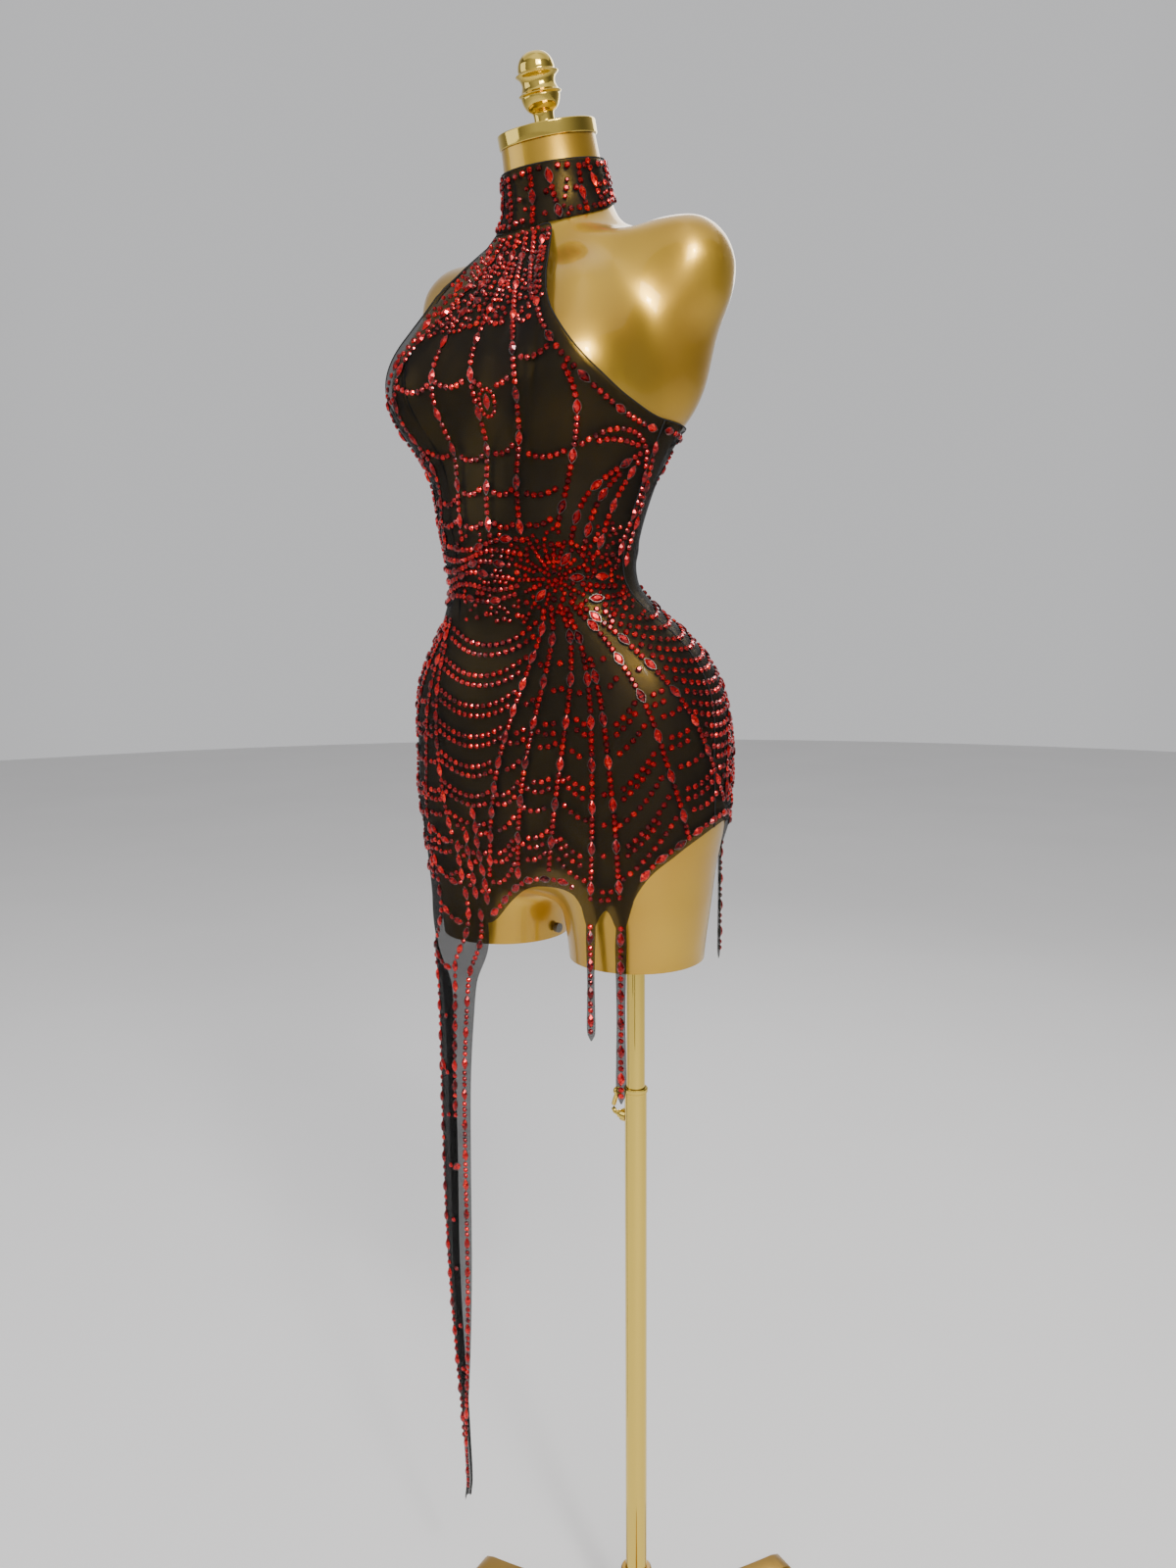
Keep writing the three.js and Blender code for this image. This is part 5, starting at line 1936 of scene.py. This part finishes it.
    def joined(self, name: str, stones: Sequence[tuple[Stone, Matrix]],
               shapes: dict[Stone, tuple[np.ndarray, np.ndarray]],
               material: bpy.types.Material) -> bpy.types.Object:
        """One object of many copies of the given shapes, each facet with its own level of painted glint.

        Args:
            name: the object's name.
            stones: kinds and places.
            shapes: corners and triangles of each kind.
            material: what they are made of.

        Returns:
            The object.
        """
        corners, faces, total = [], [], 0
        for kind, place in stones:
            shape, triangles = shapes[kind]
            turn, shift = np.array(place.to_3x3()), np.array(place.translation)
            corners.append(shape @ turn.T + shift)
            faces.append(triangles + total)
            total += len(shape)
        mesh = bpy.data.meshes.new(name)
        mesh.from_pydata(np.concatenate(corners), [], np.concatenate(faces))
        chance = np.random.default_rng(len(stones))
        # Painted glints: a random level for each stone and each facet, which the crystal's material turns
        # into painted shade or painted highlight.
        painted_glint_levels = np.concatenate([PAINTED_GLINT_MOST * chance.beta(1.3, 2.4) + PAINTED_GLINT_MOST * chance.beta(1.1, 2.2, len(f))
                                 for f in faces])
        mesh.attributes.new("spark", "FLOAT", "FACE").data.foreach_set("value", painted_glint_levels.astype(np.float32))
        mesh.materials.append(material)
        piece = bpy.data.objects.new(name, mesh)
        bpy.context.collection.objects.link(piece)
        return piece

    def build(self) -> None:
        """Lays every row, the chief lines first, and makes the stones and settings of each zone."""
        self.rosette(11, 1268)
        self.drip_rows()
        self.tail_rows()
        self.halter()
        self.hem()
        self.garlands()
        self.sides()
        self.web(FRONT_HUB, FRONT_RAYS)
        self.web(SIDE_HUB, SIDE_RAYS)
        self.web(BACK_HUB, BACK_RAYS)
        self.between((SIDE_HUB, SIDE_RAYS[-1]), (FRONT_HUB, FRONT_RAYS[0]))
        lap = (SIDE_HUB[0] + 360, SIDE_HUB[1])
        left_hip = (FRONT_HUB, FRONT_RAYS[-1]), (LEFT_HIP, 97), (BACK_HUB, BACK_RAYS[0])
        right_hip = (BACK_HUB, BACK_RAYS[-1]), (RIGHT_HIP, 268), (lap, SIDE_RAYS[0] + 360)
        for left, middle, right in (left_hip, right_hip):
            line = [self.ray(*middle, share) for share in evenly(0.04, 0.94, 9)]
            self.row(self.dress, line, "rrrN", 0.3)
            self.between(left, middle)
            self.between(middle, right)
        for turn in (108, 140, 180, 220, 252):
            line = [(turn, 1234), (turn * 0.6 + 72, 1180), (turn * 0.3 + 126, 1126)]
            self.row(self.dress, line, "rrrN", 0.4)
        self.waist()
        self.collar_rows()
        self.chest()
        glass, plate = FoiledCrystal().material(), ClawPlate().material()
        crowns = {kind: cut.glass() for kind, cut in CUTS.items()}
        cups = {kind: cut.cup() for kind, cut in CUTS.items()}
        for zone, low, high in (("bodice", 1.13, 2.0), ("skirt", 0.79, 1.13), ("tail", 0.0, 0.79)):
            stones = [stone for stone in self.laid if low <= stone[1].translation.z < high]
            settle(self.joined(f"{zone}_crystals", stones, crowns, glass), "figure")
            settle(self.joined(f"{zone}_settings", stones, cups, plate), "figure")
        log.info("%d stones", len(self.laid))


# ---- The studio -------------------------------------------------------------------------------


@dataclass
class Studio:
    """A pale floor, soft light and a camera that stands in front of the dress's left side."""

    eye: Vector = field(default_factory=lambda: Vector((0.659, -0.917, 1.090)))
    right: Vector = field(default_factory=lambda: Vector((0.788, 0.6157, 0)))
    pitch: float = math.atan(177 / 1217)
    roll: float = math.atan(57.7 / 8373)
    lens: float = 36 * 1217 / 1600
    pale_way: float = math.atan2(0.788, -0.6157)  # where the surroundings are palest
    floor_radius: float = 9.0
    pale: str = "#e6e6e8"
    dim: str = "#777676"

    def camera(self) -> None:
        """Makes the camera."""
        data = bpy.data.cameras.new("studio_camera")
        data.sensor_width = 36
        data.sensor_fit = "AUTO"
        data.lens = self.lens
        camera = bpy.data.objects.new("studio_camera", data)
        bpy.context.collection.objects.link(camera)
        level = Vector((0, 0, 1)).cross(self.right).normalized()
        ahead = level * math.cos(self.pitch) - Vector((0, 0, 1)) * math.sin(self.pitch)
        up = self.right.cross(ahead)
        x_axis = self.right * math.cos(self.roll) - up * math.sin(self.roll)
        y_axis = self.right * math.sin(self.roll) + up * math.cos(self.roll)
        turn = Matrix((x_axis, y_axis, -ahead)).transposed()
        camera.matrix_world = Matrix.Translation(self.eye) @ turn.to_4x4()
        bpy.context.scene.camera = camera

    def floor(self) -> None:
        """Makes the round floor."""
        bm = bmesh.new()
        bmesh.ops.create_circle(bm, cap_ends=True, segments=96, radius=self.floor_radius)
        publish(bm, "studio_floor", StudioFloor().material())

    def lamp(self, name: str, place: Vector, at: Vector, size: float, power: float, tint: str) -> None:
        """Adds one square soft light that faces a point.

        Args:
            name: the light's name.
            place: where it stands.
            at: what it faces.
            size: its side in metres.
            power: in watts.
            tint: hex colour.
        """
        data = bpy.data.lights.new(name, "AREA")
        data.size = size
        data.energy = power
        data.color = linear(tint)[:3]
        lamp = bpy.data.objects.new(name, data)
        lamp.location = place
        lamp.rotation_mode = "QUATERNION"
        lamp.rotation_quaternion = (at - place).to_track_quat("-Z", "Y")
        bpy.context.collection.objects.link(lamp)

    def sky(self) -> None:
        """Sets the pale surroundings."""
        world = bpy.data.worlds.new("pale_studio")
        world.use_nodes = True
        tree = world.node_tree
        way = add_node(tree, "SeparateXYZ", None, Vector=add_node(tree, "TexCoord").outputs["Generated"])
        around = add_node(tree, "Math", {"operation": "ARCTAN2"}, in0=way.outputs["Y"], in1=way.outputs["X"])
        turned = add_node(tree, "Math", {"operation": "SUBTRACT"}, in0=around.outputs["Value"],
                          in1=self.pale_way)
        twice = add_node(tree, "Math", {"operation": "MULTIPLY"}, in0=turned.outputs["Value"], in1=2.0)
        wave = add_node(tree, "Math", {"operation": "COSINE"}, in0=twice.outputs["Value"])
        pale = add_node(tree, "MapRange", None, Value=wave.outputs["Value"], From_Min=-1.0, From_Max=1.0)
        tone = add_node(tree, "ValToRGB", {"stops": ((0.0, self.dim), (0.85, self.pale))},
                        Fac=pale.outputs["Result"])
        feed(tree, tree.nodes["Background"], Color=tone.outputs["Color"], Strength=0.8)
        bpy.context.scene.world = world

    def build(self) -> None:
        """Makes the studio."""
        self.camera()
        self.floor()
        self.sky()
        chest = Vector((-0.05, 0, 1.2))
        self.lamp("key_light", Vector((1.7, -1.3, 2.5)), chest, 1.1, 50, "#fffaf2")
        self.lamp("fill_light", Vector((-1.9, -1.6, 1.9)), chest, 1.8, 18, "#f2f5ff")
        self.lamp("ceiling_light", Vector((0, 0, 5.5)), Vector(), 8, 110, "#ffffff")
        self.lamp("back_light", Vector((-0.6, 1.9, 2.4)), chest, 1.4, 20, "#ffffff")
        self.lamp("spot_light", Vector((1.5, -0.9, 2.3)), chest, 0.22, 16, "#ffffff")


def main() -> None:
    """Builds the form and its fittings, the stand, the dress and the studio, in that order."""
    logging.basicConfig(level=logging.INFO, format="%(name)s: %(message)s")
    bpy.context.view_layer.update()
    form = DressForm()
    shell = form.build()
    NeckFittings(form.neck_place()).build()
    Stand().build()
    cloth = ClothMap()
    collar = Collar()
    net = StretchMesh()
    front = Panel(PanelSide.FRONT, cloth, 200, (0.47, 1.30), 0.262)
    back = Panel(PanelSide.BACK, cloth, 130, (0.47, 0.42), 0.158)
    front.build(shell, net)
    back.build(shell, net)
    collar.build(shell, net)
    EdgeStitch(cloth.surface(), collar.surface()).build()
    CrystalWork(cloth.surface(), collar.surface(), front, back).build()
    Studio().build()


if __name__ == "__main__":
    main()
